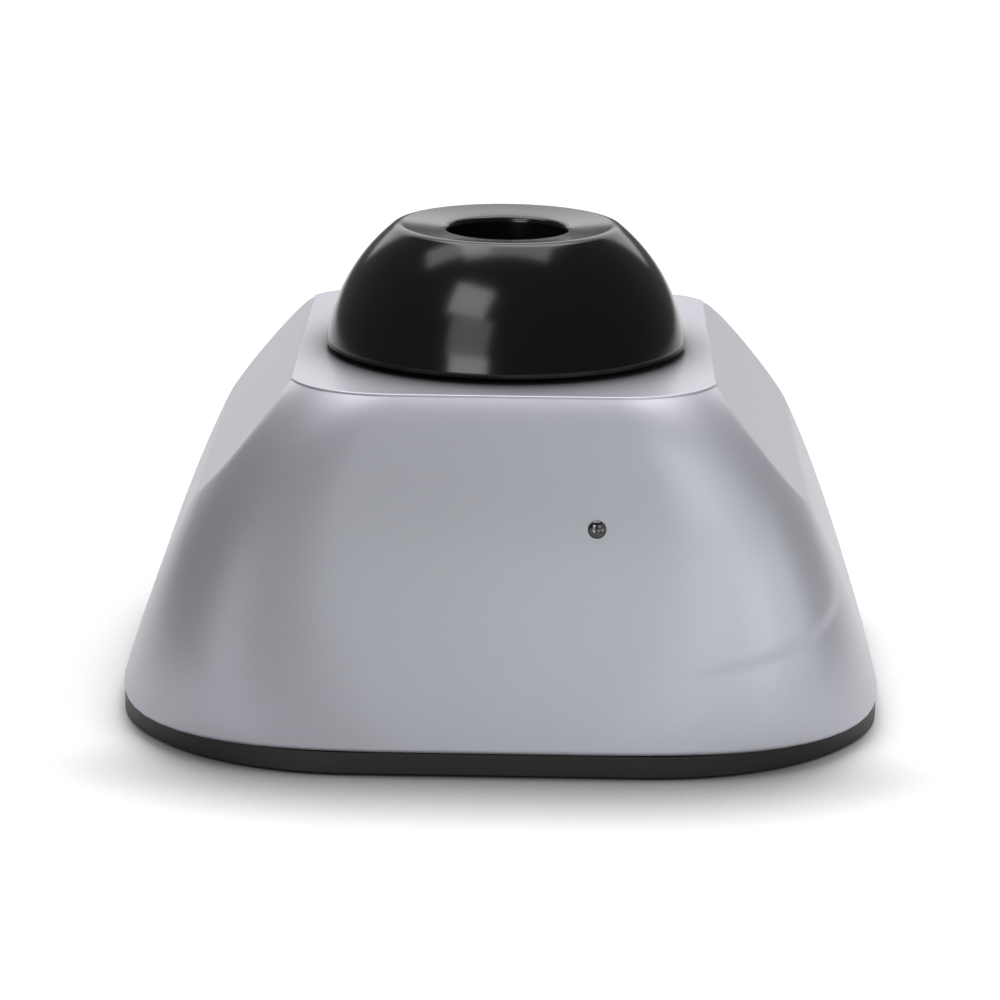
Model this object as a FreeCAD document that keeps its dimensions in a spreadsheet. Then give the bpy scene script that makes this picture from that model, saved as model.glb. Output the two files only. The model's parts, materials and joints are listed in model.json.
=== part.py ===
import FreeCAD, Part
import math
import os
import re

import Sketcher
from FreeCAD import Placement, Rotation, Vector

# Touch-operated vortex mixer, in millimetres, +Z up.
# The origin is on the table under the middle of the housing, and the front looks along -Y.
# The motor hangs on a sprung plate: pressing the cup closes a switch, the shaft turns, and an
# eccentric pin carries the cup round a small circle without turning it.

SIZES = (
    # housing: four rounded-square levels and two flat side facets
    ("skirt_height", 3.3, "lower edge of the housing above the table"),
    ("base_half", 51.8, "half width and depth of the housing at its lower edge"),
    ("base_corner", 32.6, "corner radius at the lower edge"),
    ("waist_drop", 22.9, "middle outline below the flat top"),
    ("waist_half_width", 44.4, "half width of the middle outline"),
    ("waist_front", 46.2, "reach of the middle outline to the front"),
    ("waist_back", 48.0, "reach of the middle outline to the back"),
    ("waist_corner", 17.0, "corner radius of the middle outline"),
    ("shoulder_drop", 9.9, "shoulder outline below the flat top"),
    ("shoulder_half_width", 37.7, "half width of the shoulder outline"),
    ("shoulder_front", 40.8, "reach of the shoulder outline to the front"),
    ("shoulder_back", 44.6, "reach of the shoulder outline to the back"),
    ("shoulder_corner", 8.5, "corner radius of the shoulder outline"),
    ("top_height", 46.9, "flat top of the housing above the table"),
    ("crown_half_width", 28.7, "half width of the top outline before the facets are cut"),
    ("crown_front", 33.5, "reach of the top outline to the front"),
    ("crown_back", 34.6, "reach of the top outline to the back"),
    ("crown_corner", 9.2, "corner radius of the top outline"),
    ("flat_half_width", 28.15, "half width of the flat top between the side facets"),
    ("facet_run", 0.82, "sideways run of a side facet for each millimetre of drop"),
    ("facet_drop", 20.0, "height of the cut that makes a facet"),
    ("edge_round", 0.8, "rounding of the housing's edges"),
    ("housing_wall", 2.2, "wall of the housing"),
    ("opening_radius", 13.5, "round opening in the top"),
    ("lip_wall", 1.5, "wall of the splash lip round the opening"),
    ("lip_rise", 1.0, "height of the splash lip over the top"),
    # base tray and feet
    ("foot_drop", 0.4, "how far the feet stand below the tray"),
    ("foot_radius", 6.5, "radius of a foot"),
    ("foot_x", 36.0, "foot centre, sideways"),
    ("foot_y", 22.0, "foot centre, front to back"),
    ("foot_recess", 0.8, "depth of a foot's recess in the tray"),
    ("tray_inset", 0.5, "step from the housing in to the tray's edge"),
    ("tray_gap", 0.1, "shadow gap between tray and housing"),
    ("floor_top", 3.4, "inside floor of the tray above the table"),
    ("rim_height", 3.0, "locating rim over the tray floor"),
    ("rim_wall", 1.6, "wall of the locating rim"),
    ("rim_gap", 0.3, "gap from the locating rim to the housing wall"),
    # screws through the tray into the housing
    ("boss_place", 33.5, "housing screw centre, sideways and front to back"),
    ("boss_radius", 3.6, "radius of a screw boss"),
    ("screw_radius", 1.5, "radius of a housing screw"),
    ("screw_length", 12.0, "length of a housing screw under its head"),
    ("screw_head_radius", 2.8, "radius of a screw head"),
    ("screw_head_height", 1.3, "height of a screw head"),
    ("fit_gap", 0.02, "radial room of pieces that are pressed together"),
    ("loose_gap", 0.3, "room round pieces that only pass through"),
    # motor carriage
    ("press_travel", 0.4, "how far the cup goes down to close the switch"),
    ("post_x", 24.0, "isolator post centre, sideways"),
    ("post_y", 17.0, "isolator post centre, front to back"),
    ("post_radius", 5.0, "radius of a post and of an isolator"),
    ("isolator_height", 10.0, "height of an isolator"),
    ("plate_drop", 20.9, "underside of the motor plate below the housing's top"),
    ("plate_thickness", 2.0, "thickness of the motor plate"),
    ("plate_half_width", 31.0, "half width of the motor plate"),
    ("plate_half_depth", 23.0, "half depth of the motor plate"),
    ("plate_corner", 6.0, "corner radius of the motor plate"),
    ("shoulder_radius", 1.6, "radius of a shoulder screw"),
    ("shoulder_head_radius", 4.0, "radius of a shoulder screw's head"),
    ("shoulder_head_height", 2.4, "height of a shoulder screw's head"),
    ("stop_gap", 0.1, "room between the plate and the shoulder heads at rest"),
    ("can_radius", 16.0, "radius of the motor can"),
    ("can_bottom", 7.0, "lower end of the motor can"),
    ("nose_radius", 5.0, "radius of the motor's front boss"),
    ("nose_height", 3.2, "height of the front boss over the plate's underside"),
    ("cap_radius", 14.5, "radius of the motor's end cap"),
    ("cap_height", 1.8, "height of the motor's end cap"),
    ("motor_screw_place", 10.0, "motor screw centre from the shaft"),
    ("motor_screw_radius", 1.25, "radius of a motor screw"),
    ("motor_screw_head", 2.3, "radius of a motor screw's head"),
    # rotor
    ("shaft_radius", 2.0, "radius of the motor shaft"),
    ("shaft_depth", 8.0, "depth of the shaft's bore below the motor plate"),
    ("running_gap", 0.06, "radial room of a turning fit"),
    ("eccentric", 2.25, "offset of the cup from the shaft, half the orbit diameter"),
    ("hub_gap", 1.0, "room between the motor's front boss and the hub"),
    ("hub_height", 9.8, "height of the eccentric hub"),
    ("hub_radius", 7.0, "radius of the eccentric hub"),
    ("weight_radius", 18.0, "radius of the counterweight"),
    ("weight_height", 5.0, "height of the counterweight"),
    ("weight_angle", 150.0, "angle that the counterweight fills"),
    ("grub_radius", 1.5, "radius of the set screw"),
    ("grub_drop", 2.0, "set screw's centre below the hub's upper end"),
    ("pin_radius", 2.5, "radius of the eccentric pin, the bearing's bore"),
    ("bearing_radius", 7.0, "outer radius of the bearing"),
    ("bearing_width", 5.0, "width of the bearing"),
    ("bearing_lift", 0.6, "shoulder that lifts the bearing over the hub"),
    ("ball_radius", 1.25, "radius of a ball"),
    ("ball_circle", 4.75, "radius of the circle of balls"),
    ("ball_gap", 0.08, "room between a ball and its groove"),
    ("ball_number", 7, "number of balls"),
    # cup and its holder
    ("stem_radius", 9.2, "radius of the holder's stem"),
    ("stem_rise", 0.2, "holder's lower end above the bearing's lower face"),
    ("seat_depth", 5.2, "depth of the bearing seat"),
    ("relief_radius", 5.0, "radius of the relief above the bearing"),
    ("relief_depth", 1.0, "depth of that relief"),
    ("flange_radius", 19.0, "radius of the holder's flange"),
    ("flange_gap", 0.5, "room left under the flange when the cup is pressed"),
    ("flange_thickness", 2.2, "thickness of the flange"),
    ("cup_gap", 0.2, "room left under the cup when it is pressed"),
    ("cup_lip_radius", 18.2, "radius of the cup's mouth below the flange"),
    ("cup_centre_drop", 3.4, "centre of the cup's round outer face below its lower edge"),
    ("cup_radius", 25.1, "radius of the cup's round outer face"),
    ("cup_height", 16.6, "crest of the cup's rim above its lower edge"),
    ("dish_depth", 0.5, "fall of the rim's dish from crest to tube hole"),
    ("rim_round", 1.8, "rounding of the cup's rim"),
    ("hole_radius", 8.3, "radius of the tube hole"),
    ("hole_depth", 10.4, "depth of the tube hole below the crest"),
    ("hole_round", 0.7, "rounding of the tube hole's edge"),
    ("rubber_gap", 0.1, "room between the rubber and the holder"),
    # switch
    ("switch_y", 20.4, "switch centre, front to back"),
    ("switch_half_x", 6.4, "half width of the switch body"),
    ("switch_half_y", 2.9, "half depth of the switch body"),
    ("switch_height", 6.5, "height of the switch body"),
    ("plunger_x", -2.0, "plunger centre, sideways"),
    ("plunger_half", 1.2, "half width of the plunger"),
    ("plunger_rise", 1.3, "how far the plunger stands out"),
    ("plunger_root", 1.2, "how far the plunger reaches into the body"),
    ("plunger_gap", 0.05, "room between the plunger and the plate"),
    # board and indicator
    ("board_y", -29.5, "front face of the circuit board"),
    ("board_thickness", 1.6, "thickness of the circuit board"),
    ("board_half_width", 21.0, "half width of the circuit board"),
    ("board_drop", 12.0, "upper edge of the circuit board below the housing's top"),
    ("slot_post", 6.0, "width of the posts that hold the board"),
    ("slot_depth", 9.0, "height of those posts"),
    ("lamp_x", 12.6, "indicator centre, sideways"),
    ("lamp_drop", 15.4, "indicator centre below the housing's top"),
    ("lens_radius", 1.15, "radius of the indicator lens"),
    ("lens_length", 2.6, "length of the indicator lens"),
    ("lens_proud", 0.15, "how far the lens stands out of the housing"),
    ("lamp_radius", 1.5, "radius of the indicator lamp"),
    # low-voltage inlet
    ("inlet_half", 5.0, "half width and height of the inlet body"),
    ("inlet_depth", 11.0, "depth of the inlet body"),
    ("collar_recess", 0.3, "step from the housing's back in to the collar's end"),
    ("inlet_lift", 2.2, "pedestal under the inlet body"),
    ("inlet_collar", 4.0, "radius of the inlet's collar"),
    ("collar_length", 3.6, "length of the inlet's collar"),
    ("socket_radius", 2.9, "radius of the inlet's socket"),
    ("socket_depth", 9.5, "depth of the inlet's socket"),
    ("contact_radius", 1.0, "radius of the inlet's centre pin"),
)
NAMES = {name for name, _, _ in SIZES}
CORNERS = ((1, 1), (-1, 1), (-1, -1), (1, -1))

doc = FreeCAD.newDocument("vortex_mixer")
sheet = doc.addObject("Spreadsheet::Sheet", "Sizes")
for row, (size_name, size_value, size_note) in enumerate(SIZES, 1):
    sheet.set(f"A{row}", size_note)
    sheet.set(f"B{row}", str(size_value))
    sheet.setAlias(f"B{row}", size_name)
doc.recompute()
nodes = []

# heights and places that follow from other sizes
PLACES = {
    "waist_height": "(top_height - waist_drop)",
    "shoulder_height": "(top_height - shoulder_drop)",
    "plate_bottom": "(top_height - plate_drop)",
    "post_top": "(plate_bottom - isolator_height)",
    "shaft_bottom": "(plate_bottom - shaft_depth)",
    "hub_bottom": "(plate_bottom + nose_height + hub_gap)",
    "hub_top": "(hub_bottom + hub_height)",
    "grub_height": "(hub_top - grub_drop)",
    "flange_bottom": "(top_height + lip_rise + press_travel + flange_gap)",
    "cup_bottom": "(top_height + press_travel + cup_gap)",
    "cup_centre_height": "(cup_bottom - cup_centre_drop)",
    "cup_top": "(cup_bottom + cup_height)",
    "board_height": "(top_height - board_drop - floor_top)",
    "lamp_height": "(top_height - lamp_drop)",
    "inlet_height": "(floor_top + inlet_lift + inlet_half)",
}


def size(text):
    """The number that an expression in size names comes to."""
    return float(sheet.evalExpression(cells(text)))


def cells(text):
    """The expression with each place spelt out and each size name turned into its cell of the sheet."""
    def cell(word):
        if word[0] in PLACES:
            return cells(PLACES[word[0]])
        return "Sizes." + word[0] if word[0] in NAMES else word[0]

    return re.sub(r"[a-z][a-z_]*", cell, text)


def bind(thing, prop, text):
    """Tie a property of a document object to an expression in size names."""
    thing.setExpression(prop, cells(text))


def node(thing, label):
    """Name a finished sub-part, so that it is written to its own file."""
    thing.Label = label
    nodes.append(thing)
    return thing


def place(thing, x="0", y="0", z="0"):
    """Tie the place of a document object to expressions in size names."""
    for axis, text in zip("xyz", (x, y, z)):
        bind(thing, f"Placement.Base.{axis}", text)
    return thing


def cylinder(radius, height, x="0", y="0", z="0", turn=None):
    """A cylinder that stands on a point, upright or turned."""
    thing = doc.addObject("Part::Cylinder", "cylinder")
    bind(thing, "Radius", radius)
    bind(thing, "Height", height)
    if turn is not None:
        thing.Placement = Placement(Vector(), turn)
    return place(thing, x, y, z)


def box(width, depth, height, x, y, z):
    """A box from its sizes and its lowest corner."""
    thing = doc.addObject("Part::Box", "box")
    for prop, text in (("Length", width), ("Width", depth), ("Height", height)):
        bind(thing, prop, text)
    return place(thing, x, y, z)


def group(things):
    """Several solids side by side in one object."""
    thing = doc.addObject("Part::Compound", "group")
    thing.Links = things
    return thing


def fuse(things):
    """Several overlapping solids joined into one."""
    thing = doc.addObject("Part::MultiFuse", "fuse")
    thing.Shapes = things
    return thing


def cut(base, tools):
    """A solid with one or more tool solids taken away."""
    thing = doc.addObject("Part::Cut", "cut")
    thing.Base = base
    thing.Tool = tools[0] if len(tools) == 1 else group(tools)
    return thing


def common(one, other):
    """What two things share."""
    thing = doc.addObject("Part::Common", "common")
    thing.Base = one
    thing.Tool = other
    return thing


def at_corners(make, x, y):
    """One object at each of four places that mirror each other."""
    return [make(f"{sx} * {x}", f"{sy} * {y}") for sx, sy in CORNERS]


def body(name):
    """An empty PartDesign body."""
    return doc.addObject("PartDesign::Body", name)


def sketch(owner, role, lift=None):
    """An empty sketch on one of its own body's origin planes, lifted along the plane's normal."""
    thing = owner.newObject("Sketcher::SketchObject", "sketch")
    thing.AttachmentSupport = (next(f for f in owner.Origin.OriginFeatures if f.Role == role), [""])
    thing.MapMode = "FlatFace"
    if lift is not None:
        bind(thing, "AttachmentOffset.Base.z", lift)
    return thing


def datum(owner, name, constraint, text):
    """A named sketch dimension that is tied to an expression."""
    index = owner.addConstraint(constraint)
    owner.renameConstraint(index, name)
    bind(owner, f"Constraints.{name}", text)


def pin_point(owner, name, line, end, x, y):
    """Tie one end of a sketch line to expressions for its two coordinates."""
    for kind, axis, text in (("DistanceX", -2, x), ("DistanceY", -1, y)):
        if text == "0":
            owner.addConstraint(Sketcher.Constraint("PointOnObject", line, end, axis))
        else:
            datum(owner, f"{kind}{name}", Sketcher.Constraint(kind, -1, 1, line, end, size(text)), text)


def polygon(owner, points):
    """A closed outline of straight lines through points given as pairs of expressions."""
    spots = [Vector(size(x), size(y), 0) for x, y in points]
    first = owner.GeometryCount
    count = len(points)
    for i in range(count):
        owner.addGeometry(Part.LineSegment(spots[i], spots[(i + 1) % count]))
    for i in range(count):
        following = first + (i + 1) % count
        owner.addConstraint(Sketcher.Constraint("Coincident", first + i, 2, following, 1))
    for i, (x, y) in enumerate(points):
        pin_point(owner, f"_{first}_{i}", first + i, 1, x, y)
    return owner


def rounded_rectangle(owner, half_x, half_y, radius):
    """A rectangle about the origin with equal rounded corners."""
    x, y, r = size(half_x), size(half_y), size(radius)
    sides = (
        ((r - x, -y), (x - r, -y)),
        ((x, r - y), (x, y - r)),
        ((x - r, y), (r - x, y)),
        ((-x, y - r), (-x, r - y)),
    )
    for start, end in sides:
        owner.addGeometry(Part.LineSegment(Vector(*start, 0), Vector(*end, 0)))
    for quarter, (sx, sy) in enumerate(((1, -1), (1, 1), (-1, 1), (-1, -1))):
        round_centre = Vector(sx * (x - r), sy * (y - r), 0)
        begin = (quarter - 1) * math.pi / 2
        owner.addGeometry(
            Part.ArcOfCircle(Part.Circle(round_centre, Vector(0, 0, 1), r), begin, begin + math.pi / 2)
        )
    for i in range(4):
        owner.addConstraint(Sketcher.Constraint("Tangent", i, 2, 4 + i, 1))
        owner.addConstraint(Sketcher.Constraint("Tangent", 4 + i, 2, (i + 1) % 4, 1))
    owner.addConstraint(Sketcher.Constraint("Horizontal", 2))
    owner.addConstraint(Sketcher.Constraint("Vertical", 3))
    for i in (5, 6, 7):
        owner.addConstraint(Sketcher.Constraint("Equal", 4, i))
    owner.addConstraint(Sketcher.Constraint("Symmetric", 0, 1, 0, 2, -2))
    owner.addConstraint(Sketcher.Constraint("Symmetric", 1, 1, 1, 2, -1))
    datum(owner, "corner", Sketcher.Constraint("Radius", 4, r), radius)
    datum(owner, "half_x", Sketcher.Constraint("DistanceX", -1, 1, 1, 1, x), half_x)
    datum(owner, "half_y", Sketcher.Constraint("DistanceY", -1, 1, 2, 1, y), half_y)
    return owner


def pad(owner, profile, length):
    """A pad of a sketch along its plane's normal."""
    thing = owner.newObject("PartDesign::Pad", "pad")
    thing.Profile = profile
    bind(thing, "Length", length)
    return thing


def revolved(owner, profile, angle="360", both_ways=False):
    """A sketch turned about its own vertical axis."""
    thing = owner.newObject("PartDesign::Revolution", "revolution")
    thing.Profile = profile
    thing.ReferenceAxis = (profile, ["V_Axis"])
    bind(thing, "Angle", angle)
    thing.Midplane = both_ways
    return thing


def turned(name, points, x="0", y="0"):
    """A body of revolution from an outline of radius and height expressions."""
    owner = body(name)
    revolved(owner, polygon(sketch(owner, "XZ_Plane"), points))
    return place(owner, x, y)


def rounded(owner, base, radius, chosen):
    """Round the edges of a feature that a test picks out."""
    doc.recompute()
    names = [f"Edge{i}" for i, edge in enumerate(base.Shape.Edges, 1) if chosen(edge)]
    thing = owner.newObject("PartDesign::Fillet", "fillet")
    thing.Base = (base, names)
    bind(thing, "Radius", radius)
    return thing


def circle_at(radius, height):
    """A test for the round edge of a given radius and height."""
    return lambda edge: (
        hasattr(edge.Curve, "Radius")
        and abs(edge.Curve.Radius - radius) < 0.01
        and abs(edge.Curve.Center.z - height) < 0.01
    )


def shell_loft(name, levels):
    """A smooth loft through rounded rectangles, given from the lowest level up."""
    owner = body(name)
    outlines = []
    for half_x, front, back, radius, height in levels:
        outline = sketch(owner, "XY_Plane", height)
        bind(outline, "AttachmentOffset.Base.y", f"(({back}) - ({front})) / 2")
        outlines.append(rounded_rectangle(outline, half_x, f"(({back}) + ({front})) / 2", radius))
    loft = owner.newObject("PartDesign::AdditiveLoft", "loft")
    loft.Profile = outlines[0]
    loft.Sections = outlines[1:]
    return owner


def housing_form():
    """The outside of the housing: a rounded pyramid with a flat facet down each side."""
    owner = shell_loft("housing_form", (
        ("base_half", "base_half", "base_half", "base_corner", "skirt_height"),
        ("waist_half_width", "waist_front", "waist_back", "waist_corner", "waist_height"),
        ("shoulder_half_width", "shoulder_front", "shoulder_back", "shoulder_corner", "shoulder_height"),
        ("crown_half_width", "crown_front", "crown_back", "crown_corner", "top_height"),
    ))
    low_x = "flat_half_width + facet_run * facet_drop"
    facet = polygon(sketch(owner, "XZ_Plane"), (
        ("flat_half_width", "top_height"),
        (low_x, "top_height - facet_drop"),
        (low_x, "top_height + 1"),
        ("flat_half_width", "top_height + 1"),
    ))
    pocket = owner.newObject("PartDesign::Pocket", "facet")
    pocket.Profile = facet
    pocket.Midplane = True
    bind(pocket, "Length", "4 * base_half")
    mirror = owner.newObject("PartDesign::Mirrored", "facets")
    mirror.Originals = [pocket]
    mirror.MirrorPlane = (next(f for f in owner.Origin.OriginFeatures if f.Role == "YZ_Plane"), [""])
    owner.Tip = mirror
    doc.recompute()
    top = size("top_height")
    facet_low = size("waist_height") - 1

    def is_crease(edge):
        low, high = edge.BoundBox.ZMin, edge.BoundBox.ZMax
        slanted = high > top - 0.01 and high - low > 5 and low > facet_low
        return (low > top - 0.01) or slanted

    rounded(owner, mirror, "edge_round", is_crease)
    return owner


def front_of(form, x, z):
    """Where a line from the front along Y meets the housing."""
    reach = size("2 * base_half")
    line = Part.makeLine(Vector(x, -reach, z), Vector(x, 0, z))
    return form.Shape.common(line).BoundBox.YMin


def back_of(form, x, z):
    """Where a line from the back along Y meets the housing."""
    reach = size("2 * base_half")
    line = Part.makeLine(Vector(x, 0, z), Vector(x, reach, z))
    return form.Shape.common(line).BoundBox.YMax


def lens_turn(form):
    """The turn that lays an upright cylinder square into the housing's front at the indicator."""
    x, z = size("lamp_x"), size("lamp_height")
    slope = front_of(form, x, z + 1) - front_of(form, x, z - 1)
    normal = Vector(0, -2, slope)
    return Rotation(Vector(0, 0, 1), normal)


def housing_room(name, gap):
    """The room inside the housing's wall, smaller by a gap all round."""
    wall = f"(housing_wall + {gap})"
    thick = f"(1.4 * housing_wall + {gap})"
    crown = f"(1.5 * housing_wall + {gap})"
    return shell_loft(name, (
        (f"base_half - {wall}", f"base_half - {wall}", f"base_half - {wall}", f"base_corner - {wall}", "0"),
        (f"waist_half_width - {wall}", f"waist_front - {wall}", f"waist_back - {wall}",
         f"waist_corner - {wall}", "waist_height"),
        (f"shoulder_half_width - {thick} - 0.6 * housing_wall", f"shoulder_front - {thick}",
         f"shoulder_back - {thick}", f"shoulder_corner - {wall}", "shoulder_height"),
        (f"flat_half_width - {crown}", f"crown_front - {crown}", f"crown_back - {crown}",
         f"crown_corner - {wall}", "top_height - housing_wall"),
    ))


def upper_housing(form, inside):
    """The silver housing: a shell with screw bosses, open below, with its three holes."""
    bosses = at_corners(
        lambda x, y: cylinder("boss_radius", "top_height", x, y, "floor_top + stop_gap"),
        "boss_place", "boss_place",
    )
    lip = cylinder("opening_radius + lip_wall", "housing_wall + lip_rise", z="top_height - housing_wall")
    pilots = at_corners(
        lambda x, y: cylinder("screw_radius + fit_gap", "screw_length + 2 * screw_head_height", x, y),
        "boss_place", "boss_place",
    )
    opening = cylinder("opening_radius", "2 * lip_rise + 2 * housing_wall", z="top_height - 2 * housing_wall")
    socket = cylinder("inlet_collar + loose_gap / 2", "base_half", y="inlet_y",
                      z="inlet_height", turn=Rotation(Vector(1, 0, 0), -90))
    window = lens_place("lens_radius + fit_gap", "4 * lens_length", form, "2 * lens_length")
    hollow = cut(inside, bosses)
    shell = cut(fuse([form, lip]), [hollow])
    return node(cut(shell, pilots + [opening, socket, window]), "upper_housing")


def lens_place(radius, length, form, inward):
    """A cylinder square to the housing's front, from a depth inside it outwards."""
    turn = lens_turn(form)
    x, z = size("lamp_x"), size("lamp_height")
    start = Vector(x, front_of(form, x, z), z) - turn.multVec(Vector(0, 0, size(inward)))
    thing = doc.addObject("Part::Cylinder", "lens")
    bind(thing, "Radius", radius)
    bind(thing, "Height", length)
    thing.Placement = Placement(start, turn)
    return thing


def base_plate():
    """The black tray: floor, locating rim, motor posts, switch and inlet pedestals, board slots."""
    owner = body("tray")
    edge = "base_half - tray_inset"
    floor = sketch(owner, "XY_Plane", "foot_drop")
    pad(owner, rounded_rectangle(floor, edge, edge, "base_corner - tray_inset"),
        "skirt_height - tray_gap - foot_drop")
    rim = common(housing_room("rim_outside", "rim_gap"), slab("foot_drop", "floor_top + rim_height"))
    well = common(housing_room("rim_inside", "rim_gap + rim_wall"), slab("floor_top", "post_top"))
    rim = cut(rim, [well])
    posts = at_corners(
        lambda x, y: cylinder("post_radius", "post_top - foot_drop - 1", x, y, "foot_drop + 1"),
        "post_x", "post_y",
    )
    switch_stand = box("2 * switch_half_x", "2 * switch_half_y", switch_foot() + " - foot_drop - 1",
                       "-switch_half_x", "switch_y - switch_half_y", "foot_drop + 1")
    inlet_stand = box("2 * inlet_half", "inlet_depth - 2", "floor_top + inlet_lift - foot_drop - 1",
                      "-inlet_half", "inlet_y", "foot_drop + 1")
    slots = [
        box("slot_post", "board_thickness + slot_post", "floor_top + slot_depth - foot_drop - 1",
            f"{side} * (board_half_width - slot_post / 4) - slot_post / 2",
            "board_y - slot_post / 2", "foot_drop + 1")
        for side in (1, -1)
    ]
    board_room = box("2 * board_half_width + 2 * fit_gap", "board_thickness + 2 * fit_gap", "board_height",
                     "-board_half_width - fit_gap", "board_y - fit_gap", "floor_top")
    tools = [board_room]
    tools += at_corners(lambda x, y: cylinder("foot_radius + fit_gap", "foot_recess", x, y, "foot_drop"),
                        "foot_x", "foot_y")
    tools += at_corners(lambda x, y: cylinder("screw_radius + loose_gap", "rim_height + floor_top", x, y),
                        "boss_place", "boss_place")
    tools += at_corners(
        lambda x, y: cylinder("screw_head_radius + loose_gap", "screw_head_height", x, y, "foot_drop"),
        "boss_place", "boss_place")
    tools += at_corners(
        lambda x, y: cylinder("boss_radius + loose_gap", "2 * rim_height", x, y, "floor_top"),
        "boss_place", "boss_place")
    tools += at_corners(
        lambda x, y: cylinder("shoulder_radius + fit_gap", "post_top", x, y, "floor_top + 4"),
        "post_x", "post_y")
    tools.append(box("2 * inlet_half + 2 * loose_gap", "inlet_depth + loose_gap", "2 * inlet_half",
                     "-inlet_half - loose_gap", "inlet_y", "floor_top + inlet_lift"))
    solid = fuse([owner, rim] + posts + [switch_stand, inlet_stand] + slots)
    return node(cut(solid, tools), "base_plate")


def slab(low, high):
    """A block as wide as the housing between two heights."""
    return box("2 * base_half", "2 * base_half", f"{high} - {low}", "-base_half", "-base_half", low)


def switch_foot():
    """The height of the switch body's underside, as an expression."""
    return "(plate_bottom - plunger_gap - plunger_rise - switch_height)"


def feet_and_screws():
    """Four rubber feet, four housing screws and four shoulder screws."""
    feet = []
    for sx, sy in CORNERS:
        feet.append(turned("foot", (
            ("0", "0"),
            ("foot_radius - 0.5", "0"),
            ("foot_radius", "foot_drop / 2"),
            ("foot_radius", "foot_drop + foot_recess"),
            ("0", "foot_drop + foot_recess"),
        ), f"{sx} * foot_x", f"{sy} * foot_y"))
    node(group(feet), "rubber_feet")
    node(group(at_corners(housing_screw, "boss_place", "boss_place")), "housing_screws")
    node(group(at_corners(shoulder_screw, "post_x", "post_y")), "shoulder_screws")


def housing_screw(x, y):
    """A pan-head screw, head down, with a blind drive recess."""
    head = cylinder("screw_head_radius", "screw_head_height", x, y, "foot_drop")
    shank = cylinder("screw_radius", "screw_length", x, y, "foot_drop + screw_head_height / 2")
    recess = cylinder("screw_radius * 0.7", "screw_head_height * 0.6", x, y, "foot_drop")
    return cut(fuse([head, shank]), [recess])


def shoulder_screw(x, y):
    """A socket-head screw that guides the motor plate and stops it from lifting off."""
    head_bottom = "plate_bottom + plate_thickness + stop_gap"
    head = cylinder("shoulder_head_radius", "shoulder_head_height", x, y, head_bottom)
    shank = cylinder("shoulder_radius", head_bottom + " - floor_top - 4", x, y, "floor_top + 4")
    recess = cylinder("shoulder_radius", "shoulder_head_height", x, y,
                      head_bottom + " + shoulder_head_height / 2")
    return cut(fuse([head, shank]), [recess])


def isolators():
    """Four waisted rubber isolators that carry the motor plate on its posts."""
    things = []
    length = "(plate_bottom - post_top)"
    for sx, sy in CORNERS:
        bore = "shoulder_radius + loose_gap"
        things.append(turned("isolator", (
            (bore, "post_top"),
            ("post_radius", "post_top"),
            ("post_radius", f"post_top + 0.2 * {length}"),
            ("post_radius - 1", f"post_top + 0.35 * {length}"),
            ("post_radius - 1", f"post_top + 0.65 * {length}"),
            ("post_radius", f"post_top + 0.8 * {length}"),
            ("post_radius", "plate_bottom"),
            (bore, "plate_bottom"),
        ), f"{sx} * post_x", f"{sy} * post_y"))
    node(group(things), "rubber_isolators")


def motor():
    """The motor plate, the motor can with its front boss, its end cap, terminals and screws."""
    plate = body("plate")
    pad(plate, rounded_rectangle(sketch(plate, "XY_Plane", "plate_bottom"), "plate_half_width",
                                 "plate_half_depth", "plate_corner"), "plate_thickness")
    tools = at_corners(
        lambda x, y: cylinder("shoulder_radius + 2 * loose_gap", "4 * plate_thickness", x, y,
                              "plate_bottom - plate_thickness"), "post_x", "post_y")
    tools.append(cylinder("nose_radius + fit_gap", "4 * plate_thickness", z="plate_bottom - plate_thickness"))
    tools += [cylinder("motor_screw_radius + fit_gap", "4 * plate_thickness", f"{side} * motor_screw_place",
                       z="plate_bottom - plate_thickness") for side in (1, -1)]
    node(cut(plate, tools), "motor_plate")
    can = turned("can", (
        ("0", "can_bottom"),
        ("can_radius - 1", "can_bottom"),
        ("can_radius", "can_bottom + 1"),
        ("can_radius", "plate_bottom - 1"),
        ("can_radius - 1", "plate_bottom"),
        ("nose_radius", "plate_bottom"),
        ("nose_radius", "plate_bottom + nose_height"),
        ("shaft_radius + running_gap", "plate_bottom + nose_height"),
        ("shaft_radius + running_gap", "shaft_bottom"),
        ("0", "shaft_bottom"),
    ))
    threads = [cylinder("motor_screw_radius + fit_gap", "4", f"{side} * motor_screw_place",
                        z="plate_bottom - 4") for side in (1, -1)]
    node(cut(can, threads), "motor_can")
    node(turned("cap", (
        ("0", "can_bottom - cap_height"),
        ("cap_radius - 2", "can_bottom - cap_height"),
        ("cap_radius", "can_bottom - cap_height / 2"),
        ("cap_radius", "can_bottom"),
        ("0", "can_bottom"),
    )), "motor_end_cap")
    blades = [box("4", "2", "0.5", x, "-1", "can_bottom - cap_height / 2 + 0.2")
              for x in ("cap_radius + fit_gap", "-cap_radius - fit_gap - 4")]
    node(group(blades), "motor_terminals")
    screws = []
    for side in (1, -1):
        x = f"{side} * motor_screw_place"
        top = "plate_bottom + plate_thickness"
        head = cylinder("motor_screw_head", "1.4", x, z=top)
        shank = cylinder("motor_screw_radius", "plate_thickness + 3.5", x, z="plate_bottom - 3.5")
        recess = cylinder("motor_screw_radius * 0.8", "1.4", x, z=top + " + 0.7")
        screws.append(cut(fuse([head, shank]), [recess]))
    node(group(screws), "motor_screws")


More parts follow.
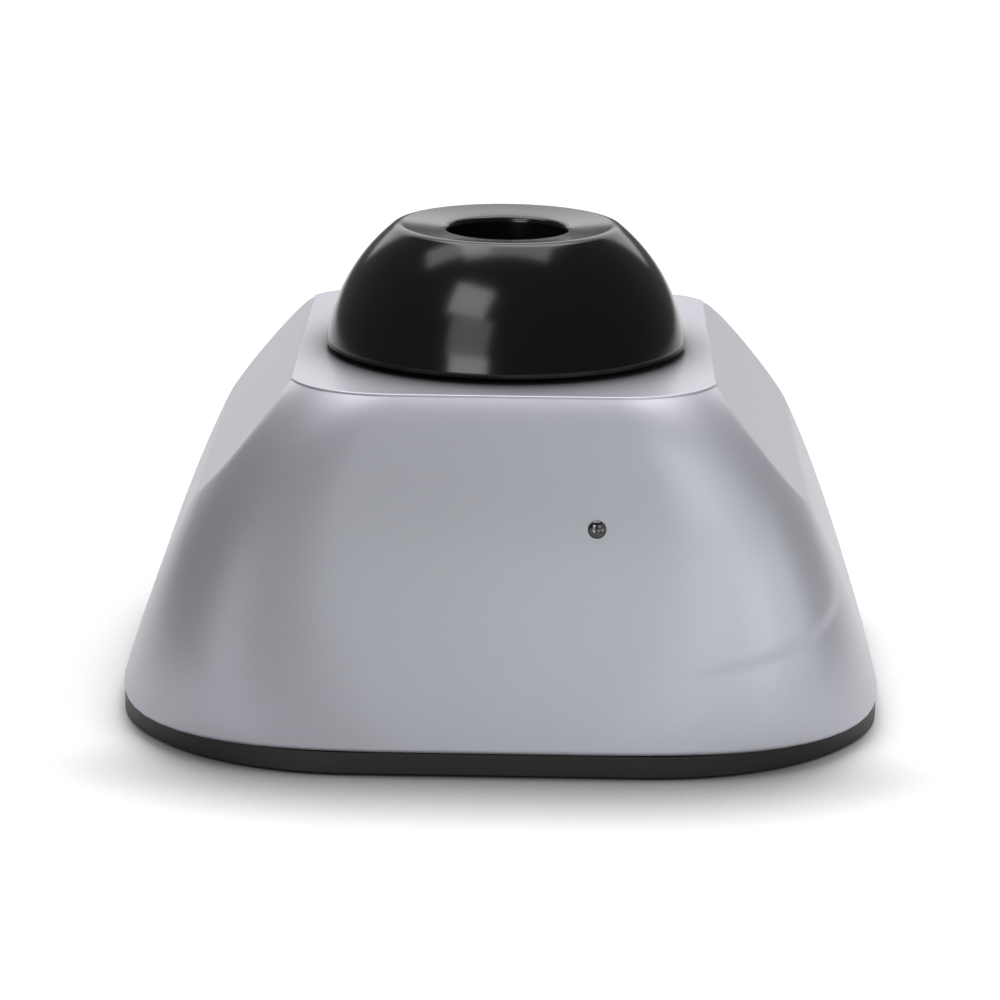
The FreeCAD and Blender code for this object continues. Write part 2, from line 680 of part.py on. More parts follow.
def rotor():
    """The shaft, the eccentric hub with its counterweight and pin, and the set screw."""
    node(turned("shaft", (
        ("0", "shaft_bottom + loose_gap"),
        ("shaft_radius", "shaft_bottom + loose_gap"),
        ("shaft_radius", "hub_top - 1"),
        ("shaft_radius - 0.4", "hub_top - 0.6"),
        ("0", "hub_top - 0.6"),
    )), "motor_shaft")
    owner = body("hub")
    revolved(owner, polygon(sketch(owner, "YZ_Plane"), (
        ("0", "hub_bottom"),
        ("hub_radius", "hub_bottom"),
        ("hub_radius", "hub_top"),
        ("0", "hub_top"),
    )))
    weight = polygon(sketch(owner, "YZ_Plane"), (
        ("hub_radius - 2", "hub_bottom"),
        ("weight_radius", "hub_bottom"),
        ("weight_radius", "hub_bottom + weight_height"),
        ("hub_radius - 2", "hub_bottom + weight_height"),
    ))
    revolved(owner, weight, "weight_angle", both_ways=True)
    shoulder = cylinder("pin_radius + 0.9", "bearing_lift + 1", y="-eccentric", z="hub_top - 1")
    crank = cylinder("pin_radius", "bearing_lift + bearing_width + 1", y="-eccentric", z="hub_top - 1")
    shaft_bore = cylinder("shaft_radius + fit_gap", "hub_top - hub_bottom - 0.5", z="hub_bottom")
    thread = cylinder("grub_radius + fit_gap", "2 * hub_radius", "shaft_radius", z="grub_height",
                      turn=Rotation(Vector(0, 1, 0), 90))
    node(cut(fuse([owner, shoulder, crank]), [shaft_bore, thread]), "eccentric_hub")
    grub = cylinder("grub_radius", "hub_radius - shaft_radius - 0.5", "shaft_radius + 0.1", z="grub_height",
                    turn=Rotation(Vector(0, 1, 0), 90))
    key = cylinder("grub_radius / 2", "2", "hub_radius - 1.6", z="grub_height",
                   turn=Rotation(Vector(0, 1, 0), 90))
    node(cut(grub, [key]), "set_screw")


def bearing():
    """The ball bearing on the eccentric pin: two grooved races and their balls."""
    low = "hub_top + bearing_lift"
    middle = low + " + bearing_width / 2"
    groove = doc.addObject("Part::Torus", "groove")
    bind(groove, "Radius1", "ball_circle")
    bind(groove, "Radius2", "ball_radius + ball_gap")
    place(groove, y="-eccentric", z=middle)
    inner = cut(cylinder("ball_circle - 0.85", "bearing_width", y="-eccentric", z=low),
                [cylinder("pin_radius + fit_gap", "bearing_width", y="-eccentric", z=low), groove])
    node(inner, "bearing_inner_race")
    outer = cut(cylinder("bearing_radius", "bearing_width", y="-eccentric", z=low),
                [cylinder("ball_circle + 0.85", "bearing_width", y="-eccentric", z=low), groove])
    node(outer, "bearing_outer_race")
    balls = []
    for i in range(int(size("ball_number"))):
        ball = doc.addObject("Part::Sphere", "ball")
        bind(ball, "Radius", "ball_radius")
        turn = f"{i} * 360 / ball_number"
        place(ball, f"ball_circle * cos({turn})", f"ball_circle * sin({turn}) - eccentric", middle)
        balls.append(ball)
    node(group(balls), "bearing_balls")


def cup_holder():
    """The holder: a stem round the bearing and a flange that the rubber cup snaps over."""
    low = "hub_top + bearing_lift + stem_rise"
    seat = low + " + seat_depth"
    node(turned("holder", (
        ("bearing_radius + fit_gap", low),
        ("stem_radius", low),
        ("stem_radius", "flange_bottom"),
        ("flange_radius", "flange_bottom"),
        ("flange_radius", "flange_bottom + flange_thickness"),
        ("0", "flange_bottom + flange_thickness"),
        ("0", seat + " + relief_depth"),
        ("relief_radius", seat + " + relief_depth"),
        ("relief_radius", seat),
        ("bearing_radius + fit_gap", seat),
    ), y="-eccentric"), "cup_holder")


def rubber_cup():
    """The rubber cup: a round-shouldered bell with a dished rim, a tube hole and a snap groove."""
    owner = body("cup")
    outline = sketch(owner, "XZ_Plane")
    centre, radius = size("cup_centre_height"), size("cup_radius")
    bottom, top = size("cup_bottom"), size("cup_top")
    low_angle = math.asin((bottom - centre) / radius)
    high_angle = math.asin((top - centre) / radius)
    round_face = Part.Circle(Vector(0, centre, 0), Vector(0, 0, 1), radius)
    outline.addGeometry(Part.ArcOfCircle(round_face, low_angle, high_angle))
    outline.addConstraint(Sketcher.Constraint("PointOnObject", 0, 3, -2))
    datum(outline, "centre", Sketcher.Constraint("DistanceY", -1, 1, 0, 3, centre), "cup_centre_height")
    datum(outline, "round_face", Sketcher.Constraint("Radius", 0, radius), "cup_radius")
    datum(outline, "bottom", Sketcher.Constraint("DistanceY", -1, 1, 0, 1, bottom), "cup_bottom")
    datum(outline, "top", Sketcher.Constraint("DistanceY", -1, 1, 0, 2, top), "cup_top")
    groove = "flange_radius + rubber_gap"
    points = (
        ("hole_radius", "cup_top - dish_depth"),
        ("hole_radius", "cup_top - hole_depth + 0.6"),
        ("hole_radius - 1.2", "cup_top - hole_depth"),
        ("0", "cup_top - hole_depth"),
        ("0", "flange_bottom + flange_thickness + rubber_gap"),
        (groove, "flange_bottom + flange_thickness + rubber_gap"),
        (groove, "flange_bottom - rubber_gap"),
        ("cup_lip_radius", "flange_bottom - rubber_gap"),
        ("cup_lip_radius", "cup_bottom"),
    )
    start = Vector(radius * math.cos(high_angle), top, 0)
    end = Vector(radius * math.cos(low_angle), bottom, 0)
    spots = [start] + [Vector(size(x), size(y), 0) for x, y in points] + [end]
    for i in range(len(spots) - 1):
        outline.addGeometry(Part.LineSegment(spots[i], spots[i + 1]))
    last = len(spots) - 1
    outline.addConstraint(Sketcher.Constraint("Coincident", 0, 2, 1, 1))
    for i in range(1, last):
        outline.addConstraint(Sketcher.Constraint("Coincident", i, 2, i + 1, 1))
        pin_point(outline, f"_{i}", i + 1, 1, *points[i - 1])
    outline.addConstraint(Sketcher.Constraint("Coincident", last, 2, 0, 1))
    bell = revolved(owner, outline)
    rim = rounded(owner, bell, "rim_round", circle_at(start.x, top))
    rounded(owner, rim, "hole_round", circle_at(size("hole_radius"), top - size("dish_depth")))
    node(place(owner, y="-eccentric"), "rubber_cup")


def switch():
    """The switch under the motor plate, its terminals and its plunger."""
    low = switch_foot()
    shell = box("2 * switch_half_x", "2 * switch_half_y", "switch_height",
                "-switch_half_x", "switch_y - switch_half_y", low)
    room = "plunger_half + plunger_gap"
    well = box(f"2 * ({room})", f"2 * ({room})", "plunger_root + press_travel + 1",
               f"plunger_x - ({room})", f"switch_y - ({room})",
               f"{low} + switch_height - plunger_root - press_travel - loose_gap")
    node(cut(shell, [well]), "switch_body")
    node(box("2 * plunger_half", "2 * plunger_half", "plunger_root + plunger_rise",
             "plunger_x - plunger_half", "switch_y - plunger_half",
             f"{low} + switch_height - plunger_root"), "switch_plunger")
    blades = [box("0.6", "3.5", "2.4", f"{i} * 4.5 - 0.3", "switch_y + switch_half_y", f"{low} + 1")
              for i in (-1, 0, 1)]
    node(group(blades), "switch_terminals")


def board(form, inside):
    """The circuit board in its slots, its capacitor and driver chip, and the indicator."""
    node(box("2 * board_half_width", "board_thickness", "board_height",
             "-board_half_width", "board_y", "floor_top"), "circuit_board")
    capacitor = cylinder("4", "9", "-10", "board_y", "lamp_height - 6.1",
                         turn=Rotation(Vector(1, 0, 0), 90))
    node(capacitor, "smoothing_capacitor")
    node(box("8", "1.6", "5", "-4", "board_y - 1.6", "floor_top + 12"), "driver_chip")
    lens = lens_place("lens_radius", "lens_length + lens_proud", form, "lens_length")
    node(lens, "indicator_lens")
    x, z = size("lamp_x"), size("lamp_height")
    tip = front_of(inside, x, z + size("lamp_radius")) + size("loose_gap")
    lamp = doc.addObject("Part::Cylinder", "lamp")
    bind(lamp, "Radius", "lamp_radius")
    lamp.Height = size("board_y") - tip
    lamp.Placement = Placement(Vector(x, size("board_y"), z), Rotation(Vector(1, 0, 0), 90))
    node(lamp, "indicator_lamp")


def inlet_end(form, inside):
    """Where the inlet block ends: a collar's length inside the housing's back, and clear of its wall."""
    collar = back_of(form, 0, size("inlet_height")) - size("collar_recess + collar_length")
    wall = back_of(inside, size("inlet_half"), size("inlet_height + inlet_half")) - size("loose_gap")
    return min(collar, wall)


def inlet():
    """The low-voltage inlet: a block with a round collar and socket, and its centre pin."""
    along = Rotation(Vector(1, 0, 0), -90)
    middle = "inlet_height"
    block = box("2 * inlet_half", "inlet_depth", "2 * inlet_half", "-inlet_half", "inlet_y",
                "floor_top + inlet_lift")
    end = "inlet_y + inlet_depth + collar_length"
    collar = cylinder("inlet_collar", "collar_length + 2", y="inlet_y + inlet_depth - 2", z=middle, turn=along)
    socket = cylinder("socket_radius", "socket_depth + 1", y=f"{end} - socket_depth", z=middle, turn=along)
    foot = cylinder("contact_radius + fit_gap", "socket_depth", y="inlet_y + 1", z=middle, turn=along)
    node(cut(fuse([block, collar]), [socket, foot]), "inlet_body")
    node(cylinder("contact_radius", f"{end} - 1.5 - inlet_y - 1.2", y="inlet_y + 1.2", z=middle, turn=along),
         "inlet_pin")


def check_and_write():
    """Stop on any failed object, then write each sub-part to its own file."""
    doc.recompute()
    failed = [thing.Label for thing in doc.Objects if {"Invalid", "Error"} & set(thing.State)]
    if failed:
        raise RuntimeError(f"failed objects: {failed}")
    for thing in nodes:
        if thing.Shape.isNull() or not thing.Shape.isValid() or not thing.Shape.Solids:
            raise RuntimeError(f"no valid solid in {thing.Label}")
    os.makedirs("parts", exist_ok=True)
    for thing in nodes:
        thing.Shape.exportStep(f"parts/{thing.Label}.step")
        print(thing.Label, len(thing.Shape.Solids), round(thing.Shape.Volume, 1))


outer_form = housing_form()
inner_form = housing_room("housing_inside", "0")
doc.recompute()
PLACES["inlet_y"] = f"({inlet_end(outer_form, inner_form):.3f} - inlet_depth)"
upper_housing(outer_form, inner_form)
base_plate()
feet_and_screws()
isolators()
motor()
rotor()
bearing()
cup_holder()
rubber_cup()
switch()
board(outer_form, inner_form)
inlet()
check_and_write()
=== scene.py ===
import json
import logging
import math
from dataclasses import dataclass
from enum import Enum
from typing import Any, ClassVar, Optional, Sequence, Union

import bmesh
import bpy
import numpy as np
from mathutils import Matrix, Vector


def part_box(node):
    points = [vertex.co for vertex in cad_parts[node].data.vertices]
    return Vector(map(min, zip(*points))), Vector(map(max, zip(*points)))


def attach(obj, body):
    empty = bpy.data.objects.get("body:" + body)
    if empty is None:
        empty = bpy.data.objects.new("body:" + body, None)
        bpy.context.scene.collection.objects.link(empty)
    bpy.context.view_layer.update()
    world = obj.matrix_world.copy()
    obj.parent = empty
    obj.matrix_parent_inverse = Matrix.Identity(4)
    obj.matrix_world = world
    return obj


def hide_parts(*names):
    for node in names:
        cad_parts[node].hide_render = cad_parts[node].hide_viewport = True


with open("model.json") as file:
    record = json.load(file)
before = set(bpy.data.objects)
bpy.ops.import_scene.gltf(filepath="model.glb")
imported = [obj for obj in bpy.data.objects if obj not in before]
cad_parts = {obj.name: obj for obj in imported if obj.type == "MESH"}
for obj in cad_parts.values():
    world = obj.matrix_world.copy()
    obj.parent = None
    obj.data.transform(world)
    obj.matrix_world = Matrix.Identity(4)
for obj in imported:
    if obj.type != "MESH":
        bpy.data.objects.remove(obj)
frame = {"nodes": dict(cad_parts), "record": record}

LOG = logging.getLogger("vortex_mixer")
MM = 0.001
Colour = tuple[float, float, float]
Point = Sequence[float]
Profile = list[tuple[float, float]]
WHITE: Colour = (1.0, 1.0, 1.0)


class Body(str, Enum):
    """The bodies of the frame that pieces ride on."""

    BASE = "base"
    CUP = "cup"


class Grain(Enum):
    """How the surface of a metal was made."""

    ROLLED = "rolled"
    TURNED = "turned"
    PLATED = "plated"


class Sock:
    """A shader socket that takes part in arithmetic."""

    def __init__(self, graph: "Graph", socket: bpy.types.NodeSocket) -> None:
        """Wrap a socket of a graph."""
        self.graph = graph
        self.socket = socket

    def __add__(self, other: "Value") -> "Sock":
        """The sum of both values."""
        return self.graph.math("ADD", self, other)

    __radd__ = __add__

    def __sub__(self, other: "Value") -> "Sock":
        """This value less the other."""
        return self.graph.math("SUBTRACT", self, other)

    def __rsub__(self, other: "Value") -> "Sock":
        """The other value less this one."""
        return self.graph.math("SUBTRACT", other, self)

    def __mul__(self, other: "Value") -> "Sock":
        """The product of both values."""
        return self.graph.math("MULTIPLY", self, other)

    __rmul__ = __mul__

    def __pow__(self, other: "Value") -> "Sock":
        """This value to the power of the other."""
        return self.graph.math("POWER", self, other)

    def above(self, edge: float, soft: float) -> "Sock":
        """A soft step that rises from 0 to 1 round an edge value.

        Args:
            edge: the value where the step is half way.
            soft: half the width of the step.

        Returns:
            The step as a socket.
        """
        return self.graph.node(
            "ShaderNodeMapRange", {"interpolation_type": "SMOOTHSTEP"},
            Value=self, From_Min=edge - soft, From_Max=edge + soft,
        )


Value = Union[Sock, float]


class Graph:
    """The node tree of a material or world, with short ways to add nodes."""

    def __init__(self, tree: bpy.types.NodeTree) -> None:
        """Take over a tree and empty it."""
        self.tree = tree
        tree.nodes.clear()

    def node(self, kind: str, settings: Optional[dict[str, Any]] = None,
             out: Union[int, str] = 0, *values: Any, **sockets: Any) -> Sock:
        """Add a node.

        Args:
            kind: the node's type name.
            settings: properties of the node itself, set first.
            out: the name or number of the output that is handed back.
            values: inputs in their order.
            sockets: inputs by name, with underscores for spaces.

        Returns:
            One output of the node, or an input where it has no outputs.
        """
        made = self.tree.nodes.new(kind)
        for key, value in (settings or {}).items():
            setattr(made, key, value)
        named = {key.replace("_", " "): value for key, value in sockets.items()}
        for key, value in [*enumerate(values), *named.items()]:
            self.feed(self.pick(made.inputs, key), value)
        return Sock(self, self.pick(made.outputs or made.inputs, out))

    @staticmethod
    def pick(sockets: Sequence[bpy.types.NodeSocket], key: Union[int, str]) -> bpy.types.NodeSocket:
        """The socket in use that has a name or a number."""
        used = [socket for socket in sockets if socket.enabled]
        return used[key] if isinstance(key, int) else next(s for s in used if s.name == key)

    def feed(self, target: bpy.types.NodeSocket, value: Any) -> None:
        """Link a socket to an input, or set the input's own value.

        Args:
            target: the input.
            value: a socket, or a plain value that fits the input.
        """
        if isinstance(value, Sock):
            self.tree.links.new(value.socket, target)
        elif target.type == "RGBA" and len(value) == 3:
            target.default_value = (*value, 1.0)
        else:
            target.default_value = value

    def math(self, operation: str, *values: Value) -> Sock:
        """Add a math node."""
        return self.node("ShaderNodeMath", {"operation": operation}, 0, *values)

    def mix(self, factor: Value, a: Union[Sock, Colour], b: Union[Sock, Colour]) -> Sock:
        """Mix two colours by a factor."""
        return self.node("ShaderNodeMix", {"data_type": "RGBA"}, 0, factor, a, b)

    def blend(self, factor: Sock, a: Sock, b: Sock) -> Sock:
        """Mix two shaders by a factor."""
        return self.node("ShaderNodeMixShader", None, 0, factor, a, b)

    def place(self, stretch: tuple[float, float, float] = (1.0, 1.0, 1.0)) -> Sock:
        """Object coordinates, stretched along each axis."""
        spot = self.node("ShaderNodeTexCoord", out="Object")
        return self.node("ShaderNodeMapping", Vector=spot, Scale=stretch)

    def along(self, axis: str) -> Sock:
        """One of the object coordinates: X, Y or Z."""
        return self.node("ShaderNodeSeparateXYZ", out=axis, Vector=self.place())

    def noise(self, scale: float, detail: float = 2.0, spot: Optional[Sock] = None) -> Sock:
        """Soft noise about 0.5, with its scale per metre."""
        spot = spot or self.place()
        return self.node("ShaderNodeTexNoise", out="Fac", Vector=spot, Scale=scale, Detail=detail)

    def cells(self, scale: float) -> Sock:
        """One random value for each small cell, with its scale per metre."""
        colour = self.node("ShaderNodeTexVoronoi", out="Color", Vector=self.place(), Scale=scale)
        return self.node("ShaderNodeSeparateColor", Color=colour)

    def openness(self, reach: float) -> Sock:
        """How open a place is to its surroundings within a reach in metres, from 0 to 1."""
        return self.node("ShaderNodeAmbientOcclusion", out="AO", Distance=reach)

    def bump(self, height: Sock, depth: float, strength: float = 1.0) -> Sock:
        """A normal bent by a height, with the depth in millimetres."""
        return self.node("ShaderNodeBump", out="Normal", Height=height, Distance=depth * MM,
                         Strength=strength)

    def seen(self, gloss: float = 1.0) -> Sock:
        """How far a ray shows a thing to the camera.

        Args:
            gloss: the share that a glossy reflection gets.

        Returns:
            1 for a ray from the camera or through glass, the share for a reflection, 0 for others.
        """
        straight = self.node("ShaderNodeLightPath", out="Is Camera Ray")
        clear = self.node("ShaderNodeLightPath", out="Is Transmission Ray")
        return straight + clear + self.node("ShaderNodeLightPath", out="Is Glossy Ray") * gloss

    def surface(self, **sockets: Any) -> None:
        """Close the tree with a principled surface."""
        shader = self.node("ShaderNodeBsdfPrincipled", **sockets)
        self.node("ShaderNodeOutputMaterial", Surface=shader)


@dataclass(frozen=True)
class Finish:
    """A named surface finish.

    Attributes:
        name: the record's material slot, and the material's name.
        colour: linear base colour.
        roughness: middle roughness.
    """

    name: str
    colour: Colour
    roughness: float

    def material(self) -> bpy.types.Material:
        """Make the material once and hand it back from then on.

        Returns:
            The material.
        """
        known = bpy.data.materials.get("finish_" + self.name)
        if known is not None:
            return known
        made = bpy.data.materials.new("finish_" + self.name)
        made.use_nodes = True
        self.paint(Graph(made.node_tree))
        return made

    def paint(self, graph: Graph) -> None:
        """Fill the material's node tree."""
        raise NotImplementedError

    def shade(self, amount: float) -> Colour:
        """The base colour made lighter or darker."""
        return tuple(min(1.0, c * amount) for c in self.colour)


@dataclass(frozen=True)
class SatinPaint(Finish):
    """Silver paint with fine metal flakes under a satin coat, with painted shade on the top close
    to the cup.

    Attributes:
        metallic: share of bare metal in the paint.
        flake_size: size of a flake, in millimetres.
        painted_shade_reach: how near a piece casts the painted shade, in millimetres.
        painted_shade_height: height over the table where the painted shade begins, in millimetres.
        painted_shade_open: openness at which the painted shade is half dark.
        painted_shade_soft: half the range of openness over which the painted shade darkens.
        painted_shade_tone: share of the colour that is left where the painted shade is darkest.
    """

    metallic: float = 0.5
    flake_size: float = 0.12
    painted_shade_reach: float = 12.0
    painted_shade_height: float = 45.0
    painted_shade_open: float = 0.77
    painted_shade_soft: float = 0.21
    painted_shade_tone: float = 0.1

    def paint(self, graph: Graph) -> None:
        """Fill the tree with flakes, orange peel and the painted shade near the cup.

        Args:
            graph: the material's node tree.
        """
        flake = graph.cells(1.0 / (self.flake_size * MM))
        drift = graph.noise(30.0)
        peel = graph.noise(700.0, 1.0)
        # Painted shade: the base colour darkens where the cup closes in over the top, standing in
        # for the cup's shadow and its dark reflection.
        opening = graph.openness(self.painted_shade_reach * MM)
        upper = graph.along("Z").above(self.painted_shade_height * MM, 1.0 * MM)
        contact = (1.0 - opening.above(self.painted_shade_open, self.painted_shade_soft)) * upper
        paint = graph.mix(flake * 0.7 + drift * 0.3, self.shade(0.96), self.shade(1.04))
        graph.surface(
            Base_Color=graph.mix(contact, paint, self.shade(self.painted_shade_tone)),
            Metallic=self.metallic,
            Roughness=self.roughness + (drift - 0.5) * 0.05 + (flake - 0.5) * 0.06,
            Normal=graph.bump(flake * 0.25 + peel, 0.004, 0.35),
            Coat_Weight=0.12,
            Coat_Roughness=0.12,
        )


@dataclass(frozen=True)
class Rubber(Finish):
    """Moulded rubber with a faint haze of handling marks.

    Attributes:
        haze: how far the marks change the roughness.
        pore_depth: depth of the pores, in millimetres.
        sheen: specular level.
    """

    haze: float = 0.1
    pore_depth: float = 0.01
    sheen: float = 0.5

    def paint(self, graph: Graph) -> None:
        """Fill the tree with marks and pores.

        Args:
            graph: the material's node tree.
        """
        marks = graph.noise(60.0, 4.0)
        pores = graph.noise(2500.0, 2.0)
        graph.surface(
            Base_Color=graph.mix(marks, self.shade(0.85), self.shade(1.2)),
            Roughness=self.roughness + (marks - 0.5) * self.haze + (pores - 0.5) * self.haze * 0.5,
            Normal=graph.bump(pores, self.pore_depth, 0.4),
            Specular_IOR_Level=self.sheen,
        )


@dataclass(frozen=True)
class Moulded(Finish):
    """Moulded plastic with a fine spark-eroded texture.

    Attributes:
        texture: depth of the texture, in millimetres.
        sheen: specular level.
    """

    texture: float = 0.02
    sheen: float = 0.5

    def paint(self, graph: Graph) -> None:
        """Fill the tree with the texture and faint flow marks.

        Args:
            graph: the material's node tree.
        """
        spark = graph.noise(2200.0, 3.0)
        flow = graph.noise(45.0, 2.0)
        graph.surface(
            Base_Color=graph.mix(spark * 0.6 + flow * 0.4, self.shade(0.85), self.shade(1.18)),
            Roughness=self.roughness + (flow - 0.5) * 0.12,
            Normal=graph.bump(spark, self.texture, 0.6),
            Specular_IOR_Level=self.sheen,
        )


@dataclass(frozen=True)
class Metal(Finish):
    """Bare or plated metal with the lines that its making left.

    Attributes:
        grain: how the surface was made.
    """

    grain: Grain = Grain.PLATED

    STRETCH: ClassVar[dict[Grain, tuple[float, float, float]]] = {
        Grain.ROLLED: (4.0, 260.0, 260.0),
        Grain.TURNED: (30.0, 30.0, 1400.0),
        Grain.PLATED: (120.0, 120.0, 120.0),
    }

    def paint(self, graph: Graph) -> None:
        """Fill the tree with the lines and a faint stain.

        Args:
            graph: the material's node tree.
        """
        lines = graph.noise(6.0, 3.0, graph.place(self.STRETCH[self.grain]))
        stain = graph.noise(90.0, 3.0)
        graph.surface(
            Base_Color=graph.mix(stain * 0.5 + lines * 0.5, self.shade(0.82), self.shade(1.1)),
            Metallic=1.0,
            Roughness=self.roughness + (lines - 0.5) * 0.18 + (stain - 0.5) * 0.1,
            Normal=graph.bump(lines, 0.01, 0.4),
        )


@dataclass(frozen=True)
class SolderResist(Finish):
    """A circuit board: lacquer over straight tracks, with a woven base.

    Attributes:
        weave_pitch: turns of the weave, in radians per metre.
        track_pitch: half tracks per metre.
    """

    weave_pitch: float = 9000.0
    track_pitch: float = 420.0

    def paint(self, graph: Graph) -> None:
        """Fill the tree with tracks and the weave.

        Args:
            graph: the material's node tree.
        """
        across, up = graph.along("X"), graph.along("Z")
        warp = graph.math("SINE", across * self.weave_pitch)
        weave = warp * graph.math("SINE", up * self.weave_pitch)
        slant = graph.math("ROUND", graph.noise(140.0, 0.0) * 2.0)
        lanes = graph.math("PINGPONG", (across + up * slant) * self.track_pitch, 1.0)
        track = lanes.above(0.72, 0.05)
        graph.surface(
            Base_Color=graph.mix(track, self.shade(0.85), self.shade(1.7)),
            Roughness=self.roughness + weave * 0.05,
            Normal=graph.bump(track + weave * 0.1, 0.03, 0.6),
        )


@dataclass(frozen=True)
class ClearPlastic(Finish):
    """Tinted clear plastic with faint flow lines.

    Attributes:
        clarity: share of light that passes through.
    """

    clarity: float = 0.4

    def paint(self, graph: Graph) -> None:
        """Fill the tree with a clear surface.

        Args:
            graph: the material's node tree.
        """
        flow = graph.noise(800.0, 2.0)
        graph.surface(
            Base_Color=graph.mix(flow, self.shade(0.9), self.shade(1.15)),
            Roughness=self.roughness + (flow - 0.5) * 0.06,
            Transmission_Weight=self.clarity,
            IOR=1.5,
            Coat_Weight=0.5,
            Coat_Roughness=0.05,
        )


SILVER = SatinPaint("silver_housing", (0.405, 0.417, 0.455), 0.42)
BLACK_PLASTIC = Moulded("black_plastic", (0.006, 0.0062, 0.0058), 0.5, 0.02, 0.3)
BLACK_RUBBER = Rubber("black_rubber", (0.02, 0.02, 0.02), 0.7, 0.15, 0.03)
GLOSS_RUBBER = Rubber("gloss_rubber", (0.003, 0.003, 0.0035), 0.16, 0.06, 0.004, 0.3)
ZINC_STEEL = Metal("zinc_steel", (0.55, 0.54, 0.5), 0.35)
BRIGHT_STEEL = Metal("bright_steel", (0.62, 0.62, 0.63), 0.16, Grain.TURNED)
BLACK_STEEL = Metal("black_steel", (0.03, 0.03, 0.032), 0.45)
ALUMINIUM = Metal("plain_aluminium", (0.7, 0.71, 0.72), 0.32, Grain.ROLLED)
BRASS = Metal("contact_brass", (0.7, 0.52, 0.22), 0.25, Grain.ROLLED)
RED_PLASTIC = Moulded("red_plastic", (0.4, 0.02, 0.015), 0.35, 0.005)
BOARD = SolderResist("board_green", (0.012, 0.09, 0.035), 0.3)
SLEEVE = Moulded("capacitor_sleeve", (0.01, 0.014, 0.05), 0.25, 0.004)
LENS = ClearPlastic("dark_lens", (0.004, 0.004, 0.005), 0.06, 0.1)
LAMP = ClearPlastic("lamp_plastic", (0.05, 0.4, 0.08), 0.15, 0.6)
FINISHES = {finish.name: finish for finish in (
    SILVER, BLACK_PLASTIC, BLACK_RUBBER, GLOSS_RUBBER, ZINC_STEEL, BRIGHT_STEEL, BLACK_STEEL,
    ALUMINIUM, BRASS, RED_PLASTIC, BOARD, SLEEVE, LENS, LAMP,
)}


